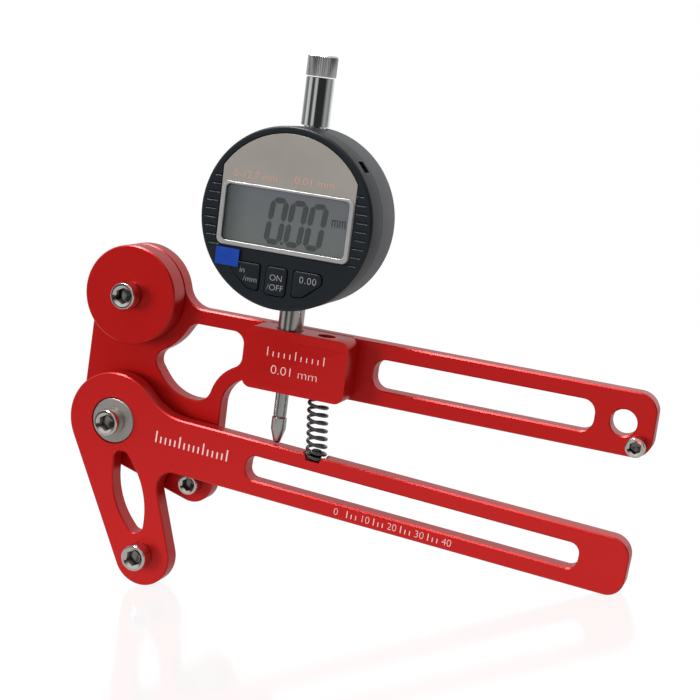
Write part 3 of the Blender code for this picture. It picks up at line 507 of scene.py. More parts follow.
keyRubber = plasticSkin("key rubber", (0.006, 0.008, 0.011, 1), 0.55, gloss=0.3)
fasciaPaint = plasticSkin("taupe fascia", (0.258, 0.236, 0.214, 1), 0.4, bump=0.1)
trimMetal = plasticSkin("silver trim", (0.40, 0.40, 0.40, 1), 0.34, bump=0.1, metal=0.45)
paneClear = clearPane("display pane")
segmentInk = printedInk("dark segments", (0.020, 0.025, 0.024, 1))
legendInk = printedInk("pale legend", (0.30, 0.31, 0.33, 1))
orangeInk = printedInk("orange print", (0.56, 0.28, 0.21, 1))
engraving = printedInk("laser marking", (0.70, 0.52, 0.50, 1))
blueFilm = filmSheet("blue film", (0.003, 0.038, 0.28, 1))
boardGreen = plasticSkin("board", (0.02, 0.12, 0.04, 1), 0.5)
print("materials ready")


# Camera, lamps and the pale stage

cameraSettings = {
    "place": (0.16715, -0.43988, 0.12816),
    "turn": (83.670, 4.416, 19.846),
    "lens": 78.22,
    "shift": (-0.0016, -0.0019),
}


def addCamera():
    camera = placeObject("camera", bpy.data.cameras.new("camera"))
    camera.location = cameraSettings["place"]
    camera.rotation_euler = [radians(angle) for angle in cameraSettings["turn"]]
    camera.data.lens = cameraSettings["lens"]
    camera.data.shift_x, camera.data.shift_y = cameraSettings["shift"]
    camera.data.clip_start = 0.01
    bpy.context.scene.camera = camera


# one lamp only glints on edges, the others light the faces and aren't seen in polished parts
lamps = {
    "keyLamp": {"place": (-1.75, -2.25, 0.55), "size": 1.0, "power": 65.0, "glints": False},
    "frontLamp": {"place": (0.5, -2.0, 0.5), "size": 0.8, "power": 9.0, "glints": False},
    "edgeLamp": {"place": (-0.15, -0.10, 1.0), "size": 0.30, "power": 14.0, "glints": True},
}
lampAim = Vector((0, 0, 0.08))


def addLamps():
    for name, lamp in lamps.items():
        light = bpy.data.lights.new(name, "AREA")
        light.shape = "SQUARE"
        light.size = lamp["size"]
        light.energy = lamp["power"]
        holder = placeObject(name, light)
        holder.location = lamp["place"]
        holder.rotation_euler = (lampAim - holder.location).to_track_quat("-Z", "Y").to_euler()
        holder.visible_glossy = lamp["glints"]
        holder.visible_diffuse = not lamp["glints"]


room = {
    "floorX": (-0.42, 0.42),
    "floorY": (-0.26, 0.60),
    "glow": 1.23,              # with the matt and mirrored shares below, this comes to white
    "mirrored": 0.6,           # the floor's level in polished parts
    "shadow": 0.16,            # share of its look that shadows can darken
    "gloss": 0.17,
    "polish": 0.12,
    "matt": (0.6, 0.6, 0.6, 1),
    "overhead": 0.75,
    "rise": (0.26, 0.62),      # height of a direction, where the walls give way to the ceiling
    # brightness of the tent's walls: degrees to the right of the front, level
    "walls": [(-180, 1.0), (-166, 0.6), (-150, 0.65), (-120, 0.45), (-100, 0.22), (-82, 0.2),
              (-74, 0.65), (-66, 0.75), (-50, 0.6), (-42, 0.08), (-24, 0.06), (-17, 0.45), (-8, 0.65),
              (0, 0.5), (8, 0.03), (66, 0.03), (78, 0.2), (92, 0.42), (115, 0.3), (130, 0.25),
              (145, 0.7), (165, 1.0), (180, 1.0)],
}


def emptyTree(owner):
    owner.use_nodes = True
    owner.node_tree.nodes.clear()
    return owner.node_tree


def rayKinds(tree):
    # rays from the camera, those with the ones through glass, and rays off polished faces
    path = tree.nodes.new("ShaderNodeLightPath")
    camera = Shade(tree, path.outputs["Is Camera Ray"])
    seen = camera.maths("MAXIMUM", camera, Shade(tree, path.outputs["Is Transmission Ray"]))
    return camera, seen, Shade(tree, path.outputs["Is Glossy Ray"])


def addRoom():
    # a light tent: white to the camera, while lit and polished faces see its walls and ceiling
    world = bpy.data.worlds.new("room")
    bpy.context.scene.world = world
    tree = emptyTree(world)
    seen = rayKinds(tree)[1]
    place = Shade(tree, tree.nodes.new("ShaderNodeTexCoord").outputs["Generated"])
    split = tree.nodes.new("ShaderNodeSeparateXYZ")
    tree.links.new(place.socket, split.inputs[0])
    right, away, height = [Shade(tree, output) for output in split.outputs]
    turn = right.maths("ARCTAN2", right, away * -1.0) * (0.5 / pi) + 0.5
    stops = [(degree / 360 + 0.5, (level, level, level, 1)) for degree, level in room["walls"]]
    walls = turn.node("ShaderNodeValToRGB", {"Fac": turn}, stops=stops)
    ceiling = (room["overhead"],) * 3 + (1,)
    tent = height.rescaled(*room["rise"]).between(walls, ceiling)
    colour = seen.between(tent, (1, 1, 1, 1))
    sky = colour.node("ShaderNodeBackground", {"Color": colour, "Strength": 1.0})
    out = tree.nodes.new("ShaderNodeOutputWorld")
    tree.links.new(sky.socket, out.inputs["Surface"])


def addFloor():
    dropSelection()
    bpy.ops.mesh.primitive_plane_add(size=1)
    floor = bpy.context.object
    floor.name = "floor"
    (left, right), (near, far) = room["floorX"], room["floorY"]
    stretch = Matrix.Diagonal((right - left, far - near, 1, 1))
    floor.data.transform(Matrix.Translation(((left + right) / 2, (near + far) / 2, 0)) @ stretch)
    material = bpy.data.materials.new("pale floor")
    tree = emptyTree(material)
    camera, seen, glossy = rayKinds(tree)
    seen = seen.maths("MAXIMUM", seen, glossy)
    level = room["glow"] - glossy * (room["glow"] - room["mirrored"])
    glow = seen.node("ShaderNodeEmission", {"Color": (1, 1, 1, 1), "Strength": level})
    matt = seen.node("ShaderNodeBsdfDiffuse", {"Color": room["matt"]})
    mirror = seen.node("ShaderNodeBsdfGlossy", {"Color": (1, 1, 1, 1), "Roughness": room["polish"]})
    plain = seen.node("ShaderNodeMixShader", {0: room["shadow"], 1: glow, 2: matt})
    shiny = seen.node("ShaderNodeMixShader", {0: room["gloss"], 1: plain, 2: mirror})
    onlySeen = seen.node("ShaderNodeMixShader", {0: camera, 1: plain, 2: shiny})
    mixed = seen.node("ShaderNodeMixShader", {0: seen, 1: matt, 2: onlySeen})
    out = tree.nodes.new("ShaderNodeOutputMaterial")
    tree.links.new(mixed.socket, out.inputs["Surface"])
    material.cycles.emission_sampling = "NONE"      # its glow is a backdrop, it lights nothing
    floor.data.materials.append(material)


addCamera()
addLamps()
addRoom()
addFloor()
bpy.context.scene.view_settings.view_transform = "Standard"
print("stage ready")


# Frame plate with its gauge block

framePlate = {
    "head": (1.5, 42.45),
    "headRadius": 16.1,
    "bossRadius": 16.0,
    "handle": (20.8, 40.6),
    "endCorner": 6.0,
    "neckRadius": 7.8,
    "strutX": 34.3,
    "strutFillet": 10.0,
    "opening": [(16.5, 28.0, 20.3), (7.7, 22.3, 4.0), (17.3, 9.85, 15.0), (29.0, 10.8, 5.0),
                (31.9, 21.0, 14.6), (39.7, 25.0, 4.0)],
    "openingTop": (21.1, 39.7, 4.0),
    "foot": (27.2, -16.7),
    "footRadius": 7.1,
    "slot": (84.5, 155.0),
    "slotCorner": 4.0,
    "spotFace": (4.7, 0.2),    # sunk round the upper post, in the spacer disc
    "hangHole": (163.9, 30.7),
    "hangRadius": 4.05,
    "blockX": (44.6, 79.0),
    "blockFront": -2.0,
    "blockCorner": 3.0,
    "blockEase": 1.3,          # rounding of its right front edge, the others have the plain chamfer
}
stopScrews = {"rest": (27.4, -17.1), "squeeze": (168.9, 24.7)}
shankHole = {"M5": 2.8, "M4": 2.3}


def frameOutline():
    shape = framePlate
    low, high = shape["handle"]
    boss = (0.0, 0.0)
    left = tangentAngle(shape["head"], shape["headRadius"], boss, shape["bossRadius"])
    under = tangentAngle(boss, shape["bossRadius"], shape["foot"], shape["footRadius"])
    neckZ = high + shape["neckRadius"]
    neckDrop = neckZ - shape["head"][1]
    neckRun = ((shape["headRadius"] + shape["neckRadius"]) ** 2 - neckDrop ** 2) ** 0.5
    neckAngle = degrees(atan2(neckDrop, neckRun))
    neck = (shape["head"][0] + neckRun, neckZ)
    end, corner = meter["handleEnd"], shape["endCorner"]
    corners = [(end, low, corner), (end, high, corner)]
    corners += arcPoints(neck, shape["neckRadius"], 270, 180 + neckAngle)
    corners += arcPoints(shape["head"], shape["headRadius"], neckAngle, left)[1:]
    corners += arcPoints(boss, shape["bossRadius"], left, under)
    corners += arcPoints(shape["foot"], shape["footRadius"], under, 360)
    corners += [(shape["strutX"], low, shape["strutFillet"])]
    return outlinePoints(corners)


def handleSlot(shape):
    low, high = shape["handle"]
    return boxPoints(shape["slot"], (low + meter["rim"], high - meter["rim"]), shape["slotCorner"])


def frameOpening():
    high = framePlate["handle"][1] - meter["rim"]
    left, right, radius = framePlate["openingTop"]
    return outlinePoints([(left, high, radius)] + framePlate["opening"] + [(right, high, radius)])


def easedBlock():
    # the gauge block, its right front edge rounded and the rest of the rim chamfered
    shape = framePlate
    front, right = shape["blockFront"], shape["blockX"][1]
    rootBack = frameFront + meter["plate"] / 2
    outline = boxPoints(shape["blockX"], shape["handle"], shape["blockCorner"])
    block = flatPiece("block", [outline], front, rootBack)
    weights = block.data.attributes.new("bevel_weight_edge", "FLOAT", "EDGE").data
    plain = meter["chamfer"] / shape["blockEase"]
    for edge, weight in zip(block.data.edges, weights):
        ends = [block.data.vertices[i].co for i in edge.vertices]
        if all(abs(end.y - front) < 0.01 for end in ends):
            inset = right - max(end.x for end in ends)
            weight.value = max(plain, 1 - inset / shape["blockCorner"] * (1 - plain))
    applyModifier(block, "BEVEL", width=shape["blockEase"], segments=4, limit_method="WEIGHT")
    return block


def buildFramePlate():
    shape = framePlate
    low, high = shape["handle"]
    holes = [circlePoints((0, 0), shankHole["M5"]), circlePoints(shape["head"], shankHole["M5"]),
             circlePoints(stopScrews["rest"], shankHole["M4"]),
             circlePoints(stopScrews["squeeze"], shankHole["M4"]),
             circlePoints(shape["hangHole"], shape["hangRadius"])]
    plate = flatPiece("framePlate", [frameOutline(), frameOpening(), handleSlot(shape)] + holes,
                      frameFront, frameBack, meter["chamfer"])
    joinWith(plate, easedBlock())
    cutWith(plate, uprightBar(stemAxis, stemShape["radius"] + meter["fitGap"], low - 1, high + 1))
    springAxis = (handleSpring["top"][0], handleSpring["y"])
    cutWith(plate, uprightBar(springAxis, springRoom(), low - 1, handleSpring["pocket"]))
    cutWith(plate, uprightBar(springAxis, handleSpring["guideHole"], handleSpring["pocket"] - 1, high + 1))
    clamp = circlePoints((meter["gaugeX"], (low + high) / 2), shankHole["M4"])
    cutOut(plate, clamp, meter["stemY"], frameBack + 1)
    weld(plate)
    finishPiece(plate, redFrame, "frame_plate")


def buildSpacerDisc():
    radius = framePlate["headRadius"]
    edge = meter["chamfer"]
    back = frameFront - meter["fitGap"]
    bore = shankHole["M5"]
    seat, depth = framePlate["spotFace"]
    profile = [(bore, depth), (seat, depth), (seat, 0), (radius - edge, 0), (radius, edge),
               (radius, back - edge), (radius - edge, back), (bore, back)]
    disc = turnedPiece("spacerDisc", profile, framePlate["head"], "y", 120, tube=True)
    finishPiece(disc, redFrame, "spacer_disc")


# Lever plate

leverPlate = {
    "handle": (-12.0, 6.0),
    "endCorners": (5.5, 6.0),
    "headRadius": 16.0,
    "blend": 20.0,
    "slot": (49.0, 158.5),
    "slotCorner": 3.2,
    "armEnd": (17.5, -42.6),
    "armRadius": 10.0,
    "armSide": 20.6,           # degrees that the arm's right edge leans
    "notchRadius": 5.5,
    "lowerPost": (17.0, -42.2),
    "pivotHole": 4.09,
    "pinHole": (2.1, 4.2),     # radius, and depth from the edge
    "mouth": 0.45,             # how much the spring's pocket widens up to the edge
    "window": [(1.95, -9.8, 2.0), (6.3, -9.45, 2.0), (16.3, -19.8, 29.0), (16.3, -39.5, 2.8),
               (3.75, -26.95, 26.0)],
}


def leverOutline():
    shape = leverPlate
    low, high = shape["handle"]
    blendZ = high + shape["blend"]
    blendX = ((shape["headRadius"] + shape["blend"]) ** 2 - blendZ ** 2) ** 0.5
    blendAngle = degrees(atan2(blendZ, blendX))
    left = tangentAngle((0, 0), shape["headRadius"], shape["armEnd"], shape["armRadius"])
    side = radians(shape["armSide"])
    touchX = shape["armEnd"][0] + shape["armRadius"] * cos(side)
    touchZ = shape["armEnd"][1] + shape["armRadius"] * sin(side)
    notchX = touchX - (low - touchZ) * tan(side)
    end, (lowCorner, highCorner) = meter["handleEnd"], shape["endCorners"]
    corners = [(end, low, lowCorner), (end, high, highCorner)]
    corners += arcPoints((blendX, blendZ), shape["blend"], 270, 180 + blendAngle)
    corners += arcPoints((0, 0), shape["headRadius"], blendAngle, left)[1:]
    corners += arcPoints(shape["armEnd"], shape["armRadius"], left, 360 + shape["armSide"])
    corners += [(notchX, low, shape["notchRadius"])]
    return outlinePoints(corners)


def buildLeverPlate():
    shape = leverPlate
    gap, high = meter["fitGap"], shape["handle"][1]
    holes = [circlePoints(shape["lowerPost"], shankHole["M5"]), circlePoints((0, 0), shape["pivotHole"])]
    outlines = [leverOutline(), handleSlot(shape), outlinePoints(shape["window"])] + holes
    plate = flatPiece("leverPlate", outlines, 0, meter["plate"], meter["chamfer"])
    cutOut(plate, circlePoints((0, 0), bushShape["flange"] + gap), -1, bushShape["depth"] + gap)
    # the spring leans in its pocket as the lever swings
    seatX, seatZ = onLever(handleSpring["seat"])
    seat, room = (seatX, handleSpring["y"]), springRoom()
    mouth = room + shape["mouth"]
    well = [(room, seatZ - gap), (room, seatZ + gap), (mouth, high), (mouth, high + 1)]
    cutWith(plate, turnedPiece("well", well, seat, "z", 48))
    pinRadius, pinDepth = shape["pinHole"]
    cutWith(plate, uprightBar(seat, pinRadius, high - pinDepth, seatZ))
    weld(plate)
    finishPiece(plate, redLever, "lever_plate", leverSpace, "lever")


def onLever(point):
    # a place on the fixed plate, seen from the lever at rest
    turn = radians(meter["leverSlope"])
    x, z = point
    return (x * cos(turn) - z * sin(turn), x * sin(turn) + z * cos(turn))


# Hinge and screws

bushShape = {"flange": 7.5, "depth": 1.8, "sleeve": 4.0, "edge": 0.3}
nutShape = {"width": 8.0, "thick": 4.0, "edge": 0.5}
screwSizes = {
    "M5": {"head": 4.3, "height": 5.0, "key": 4.8, "shank": 2.5},
    "M4": {"head": 3.3, "height": 4.0, "key": 3.8, "shank": 2.0},
    "M4 low": {"head": 3.0, "height": 3.7, "key": 3.4, "shank": 2.0},
}
# shares of the head's radius, then shares of its height
screwHead = {"rim": 0.09, "face": 0.45, "mouth": 0.8, "socket": 0.66, "drill": (0.64, 0.74)}


def buildCapScrew(name, size, centre, seat, tip, node, space=fixedSpace, body="frame"):
    # socket head cap screw: rounded rim, countersunk hexagon with a drilled bottom
    screw = screwSizes[size]
    head, height, throat, shank = screw["head"], screw["height"], screw["key"] / 2, screw["shank"]
    front = seat - height
    rim = screwHead["rim"] * head
    profile = [(screwHead["face"] * head, front), (head - rim, front)] + roundedRim(head, front, rim)
    profile += [(head, seat - 0.3), (head - 0.3, seat), (shank, seat), (shank, tip - 0.5), (shank - 0.5, tip)]
    piece = turnedPiece(name, profile, centre, "y", 64)
    cutWith(piece, hexBar(centre, screw["key"], front - 1, front + screwHead["socket"] * height))
    mouth = screwHead["mouth"] * head
    sink = [(mouth, front - 1), (mouth, front), (throat, front + 0.7 * (mouth - throat))]
    cutWith(piece, turnedPiece("sink", sink, centre, "y", 64))
    start, end = [front + share * height for share in screwHead["drill"]]
    cutWith(piece, turnedPiece("drill", [(throat - 0.4, start), (0.1, end)], centre, "y", 48))
    finishPiece(piece, screwSteel, node, space, body)


def buildHinge():
    flange, depth, sleeve = bushShape["flange"], bushShape["depth"], bushShape["sleeve"]
    bore, edge, end = shankHole["M5"], bushShape["edge"], frameFront - meter["fitGap"]
    profile = [(bore, 0), (flange - edge, 0), (flange, edge), (flange, depth), (sleeve, depth),
               (sleeve, end), (bore, end)]
    bush = turnedPiece("pivotBush", profile, (0, 0), "y", 96, tube=True)
    finishPiece(bush, greySteel, "pivot_bush")
    nutFront = frameBack + meter["fitGap"]
    nutBack = nutFront + nutShape["thick"]
    nut = hexBar((0, 0), nutShape["width"], nutFront, nutBack)
    nut.name = "pivotNut"
    startEdit(nut)
    bpy.ops.mesh.bevel(offset=nutShape["edge"], segments=2)
    endEdit()
    cutWith(nut, turnedPiece("nutBore", [(bore, nutFront - 1), (bore, nutBack + 1)], (0, 0), "y", 48))
    finishPiece(nut, brightSteel, "pivot_nut")


def buildScrews():
    postSeat, stopSeat = -meter["fitGap"], frameFront - meter["fitGap"]
    tip = frameBack - 0.5
    pastNut = frameBack + meter["fitGap"] + nutShape["thick"] + 0.5
    buildCapScrew("pivotScrew", "M5", (0, 0), postSeat, pastNut, "pivot_screw")
    buildCapScrew("upperPost", "M5", framePlate["head"], postSeat, tip, "upper_post_screw")
    buildCapScrew("lowerPost", "M5", leverPlate["lowerPost"], postSeat, meter["plate"] - 0.2,
                  "lower_post_screw", leverSpace, "lever")
    buildCapScrew("restStop", "M4", stopScrews["rest"], stopSeat, tip, "rest_stop_screw")
    buildCapScrew("squeezeStop", "M4 low", stopScrews["squeeze"], stopSeat, tip, "squeeze_stop_screw")


# Handle spring

handleSpring = {
    "wire": 1.1,
    "mean": 2.95,
    "y": 3.0,
    "top": (69.5, 28.7),
    "straight": 20.8,          # above this the coils stand straight in the block's pocket
    "seat": (70.9, 1.0),
    "turns": 11.5,
    "endSpace": 0.48,
    "pocket": 29.0,
    "guideHole": 2.9,
    "squeezed": 0.647,         # length left at the end of the squeeze
}


def springRoom():
    # radius of the pockets that hold its two ends
    return handleSpring["mean"] + handleSpring["wire"] / 2 + meter["fitGap"]


def springPath():
    # left-hand coils, square in the block and turned with the lever at their foot
    shape = handleSpring
    (topX, topZ), (seatX, seatZ) = shape["top"], shape["seat"]
    closePitch = shape["wire"] + shape["endSpace"]
    low, high = seatZ + shape["wire"] / 2, topZ - shape["wire"] / 2
    openTurns = shape["turns"] - 2
    openPitch = (high - low - 2 * closePitch) / openTurns
    perTurn = 36
    path = []
    for i in range(int(shape["turns"] * perTurn) + 1):
        turn = i / perTurn
        rise = min(turn, 1) * closePitch + min(max(turn - 1, 0), openTurns) * openPitch
        z = low + rise + max(turn - 1 - openTurns, 0) * closePitch
        span = max(0, (shape["straight"] - z) / (shape["straight"] - seatZ))
        lean = span * span * (3 - 2 * span)
        middle = topX + (seatX - topX) * lean
        across = shape["mean"] * cos(2 * pi * turn)
        drop = across * tan(radians(meter["leverSlope"])) * lean
        path.append((middle + across, shape["y"] - shape["mean"] * sin(2 * pi * turn), z - drop))
    return path


def buildHandleSpring():
    shape = handleSpring
    curve = bpy.data.curves.new("handleSpring", "CURVE")
    curve.dimensions = "3D"
    curve.bevel_depth = shape["wire"] / 2
    curve.bevel_resolution = 3
    curve.use_fill_caps = True
    addSpline(curve, springPath())
    spring = weld(curveToMesh("handleSpring", curve), 0.0005)
    finishPiece(spring, springWire, "handle_spring", smooth=50)
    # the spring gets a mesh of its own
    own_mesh(spring)


# Indicator, about its own centre

gaugeShape = {
    "bezelRadius": 27.9,
    "bezelFront": -12.8,
    "bezelBack": -3.5,
    "housingRadius": 27.8,
    "housingBack": 9.8,
    "faceThick": 2.0,
    "wall": 2.4,
    "rim": 0.9,
    "fasciaThick": 0.6,
    "fasciaEdge": 0.08,
    "fasciaHalf": 21.7,
    "fasciaLow": -10.5,
    "fasciaRadius": 25.6,
    "fasciaCorner": 2.2,
    "windowX": (-20.1, 20.1),
    "windowZ": (-9.0, 8.2),
    "windowCorner": 1.4,
    "trimX": (-21.5, 21.5),
    "trimZ": (-10.4, 9.0),
    "trimCorner": 2.0,
    "trimProud": 0.3,
    "trimEdge": 0.28,
    "trimGap": 0.04,
    "panelDepth": 0.9,         # display behind the bezel's front
}
# shallow ribs left and right of the face, and the notch for prying the bezel off
grip = {"grooves": 9, "pitch": 2.6, "reach": 26.4, "length": 3.7, "half": 0.32, "depth": 0.28, "edge": 0.27}
pryNotch = {"angle": 42.0, "depth": 2.1, "half": 2.0, "corner": 0.3, "span": (5.3, 1.2)}
keyShape = {
    "centre": -0.5,
    "high": -14.8,
    "low": -23.4,
    "half": 3.4,
    "corner": 1.2,
    "sideX": (5.5, 9.2, 15.0),
    "sideLow": (-22.9, -22.3, -17.6),
    "sideLean": 0.6,
    "sideCorners": (1.0, 1.0, 2.0, 2.0, 1.6),
    "proud": 0.5,
    "depth": 3.5,
    "edge": 0.35,
}
keyBodies = {"mode_button": "mode_key", "power_button": "power_key", "zero_button": "zero_key"}


def fasciaOutline(grow):
    half = gaugeShape["fasciaHalf"] + grow
    low = gaugeShape["fasciaLow"] - grow
    radius = gaugeShape["fasciaRadius"] + grow
    corner = degrees(acos(half / radius))
    ease = gaugeShape["fasciaCorner"] + grow
    top = arcPoints((0, 0), radius, corner, 180 - corner)
    return outlinePoints([(-half, low, ease), (half, low, ease)] + top)


def faceOutline(name, grow):
    # the window or the trim round it
    left, right = gaugeShape[name + "X"]
    low, high = gaugeShape[name + "Z"]
    corner = gaugeShape[name + "Corner"] + grow
    return boxPoints((left - grow, right + grow), (low - grow, high + grow), corner)


def keyOutline(name, grow):
    centre, high, low = keyShape["centre"], keyShape["high"] + grow, keyShape["low"]
    if name == "power_button":
        half = keyShape["half"] + grow
        return boxPoints((centre - half, centre + half), (low - grow, high), keyShape["corner"] + grow)
    side = -1 if name == "mode_button" else 1
    inner, middle, outer = keyShape["sideX"]
    innerLow, middleLow, outerLow = keyShape["sideLow"]
    spots = [(inner - grow, high), (inner - grow, innerLow - grow), (middle + grow, middleLow - grow),
             (outer + grow, outerLow), (outer + grow - keyShape["sideLean"], high)]
    corners = zip(spots, keyShape["sideCorners"])
    return outlinePoints([(centre + side * x, z, radius) for (x, z), radius in corners])


def cutGrip(bezel, front):
    half = grip["half"]
    for side in (-1, 1):
        for i in range(grip["grooves"]):
            z = (i - (grip["grooves"] - 1) / 2) * grip["pitch"]
            outer = (grip["reach"] ** 2 - z * z) ** 0.5
            inner = outer - grip["length"]
            groove = [(inner, z - half), (outer, z - half), (outer, z + half), (inner, z + half)]
            cutter = flatPiece("gripGroove", [groove], front - 0.8, front + grip["depth"], grip["edge"])
            if side < 0:
                cutter.data.transform(Matrix.Rotation(radians(180), 4, "Y"))
            cutWith(bezel, cutter)


def buildBezel():
    shape, gap = gaugeShape, meter["fitGap"]
    radius, front, back = shape["bezelRadius"], shape["bezelFront"], shape["bezelBack"]
    inner = radius - shape["wall"]
    faceBack = front + shape["faceThick"]
    profile = [(1.0, front), (radius - shape["rim"], front)]
    profile += roundedRim(radius, front, shape["rim"], (22, 45, 68, 90))
    profile += [(radius, back - 0.2), (radius - 0.2, back), (inner, back), (inner, faceBack), (1.0, faceBack)]
    bezel = turnedPiece("bezel", profile, (0, 0), "y", 160)
    cutOut(bezel, faceOutline("window", gap), front - 1, faceBack + 1)
    cutOut(bezel, fasciaOutline(gap), front - 1, front + shape["fasciaThick"] + gap)
    for name in keyBodies:
        cutOut(bezel, keyOutline(name, gap), front - 1, faceBack + 1)
    cutGrip(bezel, front)
    half, (start, end) = pryNotch["half"], pryNotch["span"]
    notch = boxPoints((radius - pryNotch["depth"], radius + 2), (-half, half), pryNotch["corner"])
    pry = flatPiece("pryNotch", [notch], back - start, back - end)
    pry.data.transform(Matrix.Rotation(radians(-pryNotch["angle"]), 4, "Y"))
    cutWith(bezel, pry)
    weld(bezel)
    finishPiece(bezel, bezelPlastic, "gauge_bezel", gaugeSpace)


def buildFace():
    shape = gaugeShape
    front = shape["bezelFront"]
    back = front + shape["fasciaThick"]
    fascia = flatPiece("fascia", [fasciaOutline(0)], front, back, shape["fasciaEdge"])
    cutOut(fascia, faceOutline("trim", shape["trimGap"]), front - 1, back + 1)
    finishPiece(fascia, fasciaPaint, "fascia_plate", gaugeSpace)
    outlines = [faceOutline("trim", 0), faceOutline("window", 0)]
    trim = flatPiece("windowTrim", outlines, front - shape["trimProud"], back, shape["trimEdge"], 3)
    finishPiece(trim, trimMetal, "window_trim", gaugeSpace, smooth=60)
    turned = (gaugeSpace.to_3x3() * 1000).transposed()
    corner = gaugeSpace @ Vector((shape["windowX"][0], 0, shape["windowZ"][0]))
    dressNode("lcd_panel", displayFace("display face", corner, turned[0], turned[2]))


def buildKeys():
    front = gaugeShape["bezelFront"] - keyShape["proud"]
    back = front + keyShape["depth"]
    for name, body in keyBodies.items():
        outline = keyOutline(name, 0)
        key = flatPiece(name.replace("_button", "Key"), [outline], front, back, keyShape["edge"], 2)
        finishPiece(key, keyRubber, name, gaugeSpace, body, smooth=40)


def segmentBar(centre, length, width, upright):
    # one display segment with pointed ends
    half, side = length / 2, width / 2
    shape = [(-half, 0), (-half + side, side), (half - side, side), (half, 0),
             (half - side, -side), (-half + side, -side)]
    if upright:
        shape = [(z, x) for x, z in shape]
    return [(centre[0] + x, centre[1] + z) for x, z in shape]


digits = {
    "width": 4.2,
    "height": 12.7,
    "bar": 1.75,
    "slant": 0.10,
    "left": (-5.74, 0.71, 7.16),
    "low": -7.4,
    "gap": 0.24,
    "dot": (1.6, 0.9),         # how far left of the second digit, and its size
    "proud": (0.06, 0.01),     # their front and back, before the panel
    "unit": (14.7, 17.1),      # left edges of the two letters m
    "unitSize": (2.15, 2.2, 0.43),
}


def zeroBars(left, low):
    width, height, bar, gap = digits["width"], digits["height"], digits["bar"], digits["gap"]
    half = height / 2
    bars = [segmentBar((left + width / 2, z), width - gap, bar, False) for z in (low, low + height)]
    bars += [segmentBar((x, z), half - gap, bar, True)
             for x in (left, left + width) for z in (low + half / 2, low + half * 1.5)]
    return [[(x + (z - low) * digits["slant"], z) for x, z in shape] for shape in bars]


def buildDigits():
    panelFront = gaugeShape["bezelFront"] + gaugeShape["panelDepth"]
    shapes = []
    for left in digits["left"]:
        shapes += zeroBars(left, digits["low"])
    before, side = digits["dot"]
    dot, foot = digits["left"][1] - before, digits["low"] - 0.5
    shapes.append(boxPoints((dot, dot + side), (foot, foot + side), 0.15))
    width, height, stroke = digits["unitSize"]
    inner, middle = height - stroke, (width - stroke) / 2
    for left in digits["unit"]:
        comb = [(0, 0), (0, height), (width, height), (width, 0), (width - stroke, 0),
                (width - stroke, inner), (middle + stroke, inner), (middle + stroke, 0), (middle, 0),
                (middle, inner), (stroke, inner), (stroke, 0)]
        shapes.append([(left + x, z) for x, z in comb])
    front, back = [panelFront - proud for proud in digits["proud"]]
    piece = flatPiece("displayDigits", shapes, front, back)
    finishPiece(piece, segmentInk, space=gaugeSpace)


inkShape = {"thick": 0.03, "lift": 0.01, "thinned": 0.018}


def addLettering(name, words, place, size, ground, align="LEFT", gap=1.0, line=0.95, width=1.0):
    # raised print: text made a mesh, stood up against the face that it is printed on
    front, slot, ink, space, body = ground
    dropSelection()
    bpy.ops.object.text_add()
    text = bpy.context.object
    text.name = name
    text.data.body = words
    text.data.size = size
    text.data.align_x = align
    text.data.space_character = gap
    text.data.space_line = line
    text.data.offset = -inkShape["thinned"] * size
    text.data.extrude = inkShape["thick"] / 2
    bpy.ops.object.convert(target="MESH")
    piece = bpy.context.object
    piece.data.transform(Matrix.Scale(width, 4, (1, 0, 0)))
    stand = Matrix.Translation((place[0], front - inkShape["lift"], place[1]))
    piece.data.transform(stand @ Matrix.Rotation(radians(90), 4, "X"))
    weld(piece, 0.0005)
    finishPiece(piece, ink, None, space, body)


def addTicks(name, start, count, step, heights, ground, width=0.3):
    # a plain graduation: long ticks at every fifth place
    front, slot, ink, space, body = ground
    shapes = []
    for i in range(count):
        x = start[0] + step * i
        height = heights[1] if i % 5 == 0 else heights[0]
        shapes.append(boxPoints((x - width / 2, x + width / 2), (start[1], start[1] + height), 0.1))
    piece = flatPiece(name, shapes, front - inkShape["thick"], front)
    finishPiece(piece, ink, None, space, body)


# the numbers along the lever's handle, with ticks between them
handleScale = {"left": 80.6, "foot": -10.6, "pitch": 9.0, "count": 5, "ticks": 4.6}


def buildMarkings():
    faceFront = gaugeShape["bezelFront"]
    modeKey, powerKey, zeroKey = [(faceFront - keyShape["proud"], "key_rubber", legendInk, gaugeSpace, body)
                                  for body in keyBodies.values()]
    fascia = (faceFront, "fascia", orangeInk, gaugeSpace, "frame")
    block = (framePlate["blockFront"], "anodised_frame", engraving, fixedSpace, "frame")
    lever = (0, "anodised_lever", engraving, leverSpace, "lever")
    addLettering("modeLegend", "in\n  /mm", (-12.6, -18.0), 2.6, modeKey)
    addLettering("powerLegend", "ON\n/OFF", (-0.4, -18.9), 2.7, powerKey, align="CENTER", line=1.1)
    addLettering("zeroLegend", "0.00", (9.95, -18.2), 3.0, zeroKey, align="CENTER", gap=1.12)
    addLettering("rangeNumbers", "0-12.7 mm", (-18.2, 10.6), 3.2, fascia, width=1.04)
    addLettering("stepNumbers", "0.01 mm", (1.6, 11.1), 3.2, fascia, width=1.16)
    addLettering("blockNumbers", "0.01 mm", (62.0, 26.6), 4.0, block, align="CENTER", width=1.14)
    addTicks("blockTicks", (52.4, 32.0), 11, 1.9, (1.6, 2.8), block)
    addTicks("leverTicks", (16.5, -3.2), 16, 1.7, (2.2, 3.8), lever, width=0.5)
    foot = handleScale["foot"]
    for i in range(handleScale["count"]):
        x = handleScale["left"] + handleScale["pitch"] * i
        addLettering("handleNumber%d" % i, str(10 * i), (x, foot), 3.3, lever)
        if i < handleScale["count"] - 1:
            addTicks("handleTicks%d" % i, (x + handleScale["ticks"], foot), 3, 1.5, (1.5, 2.3), lever)


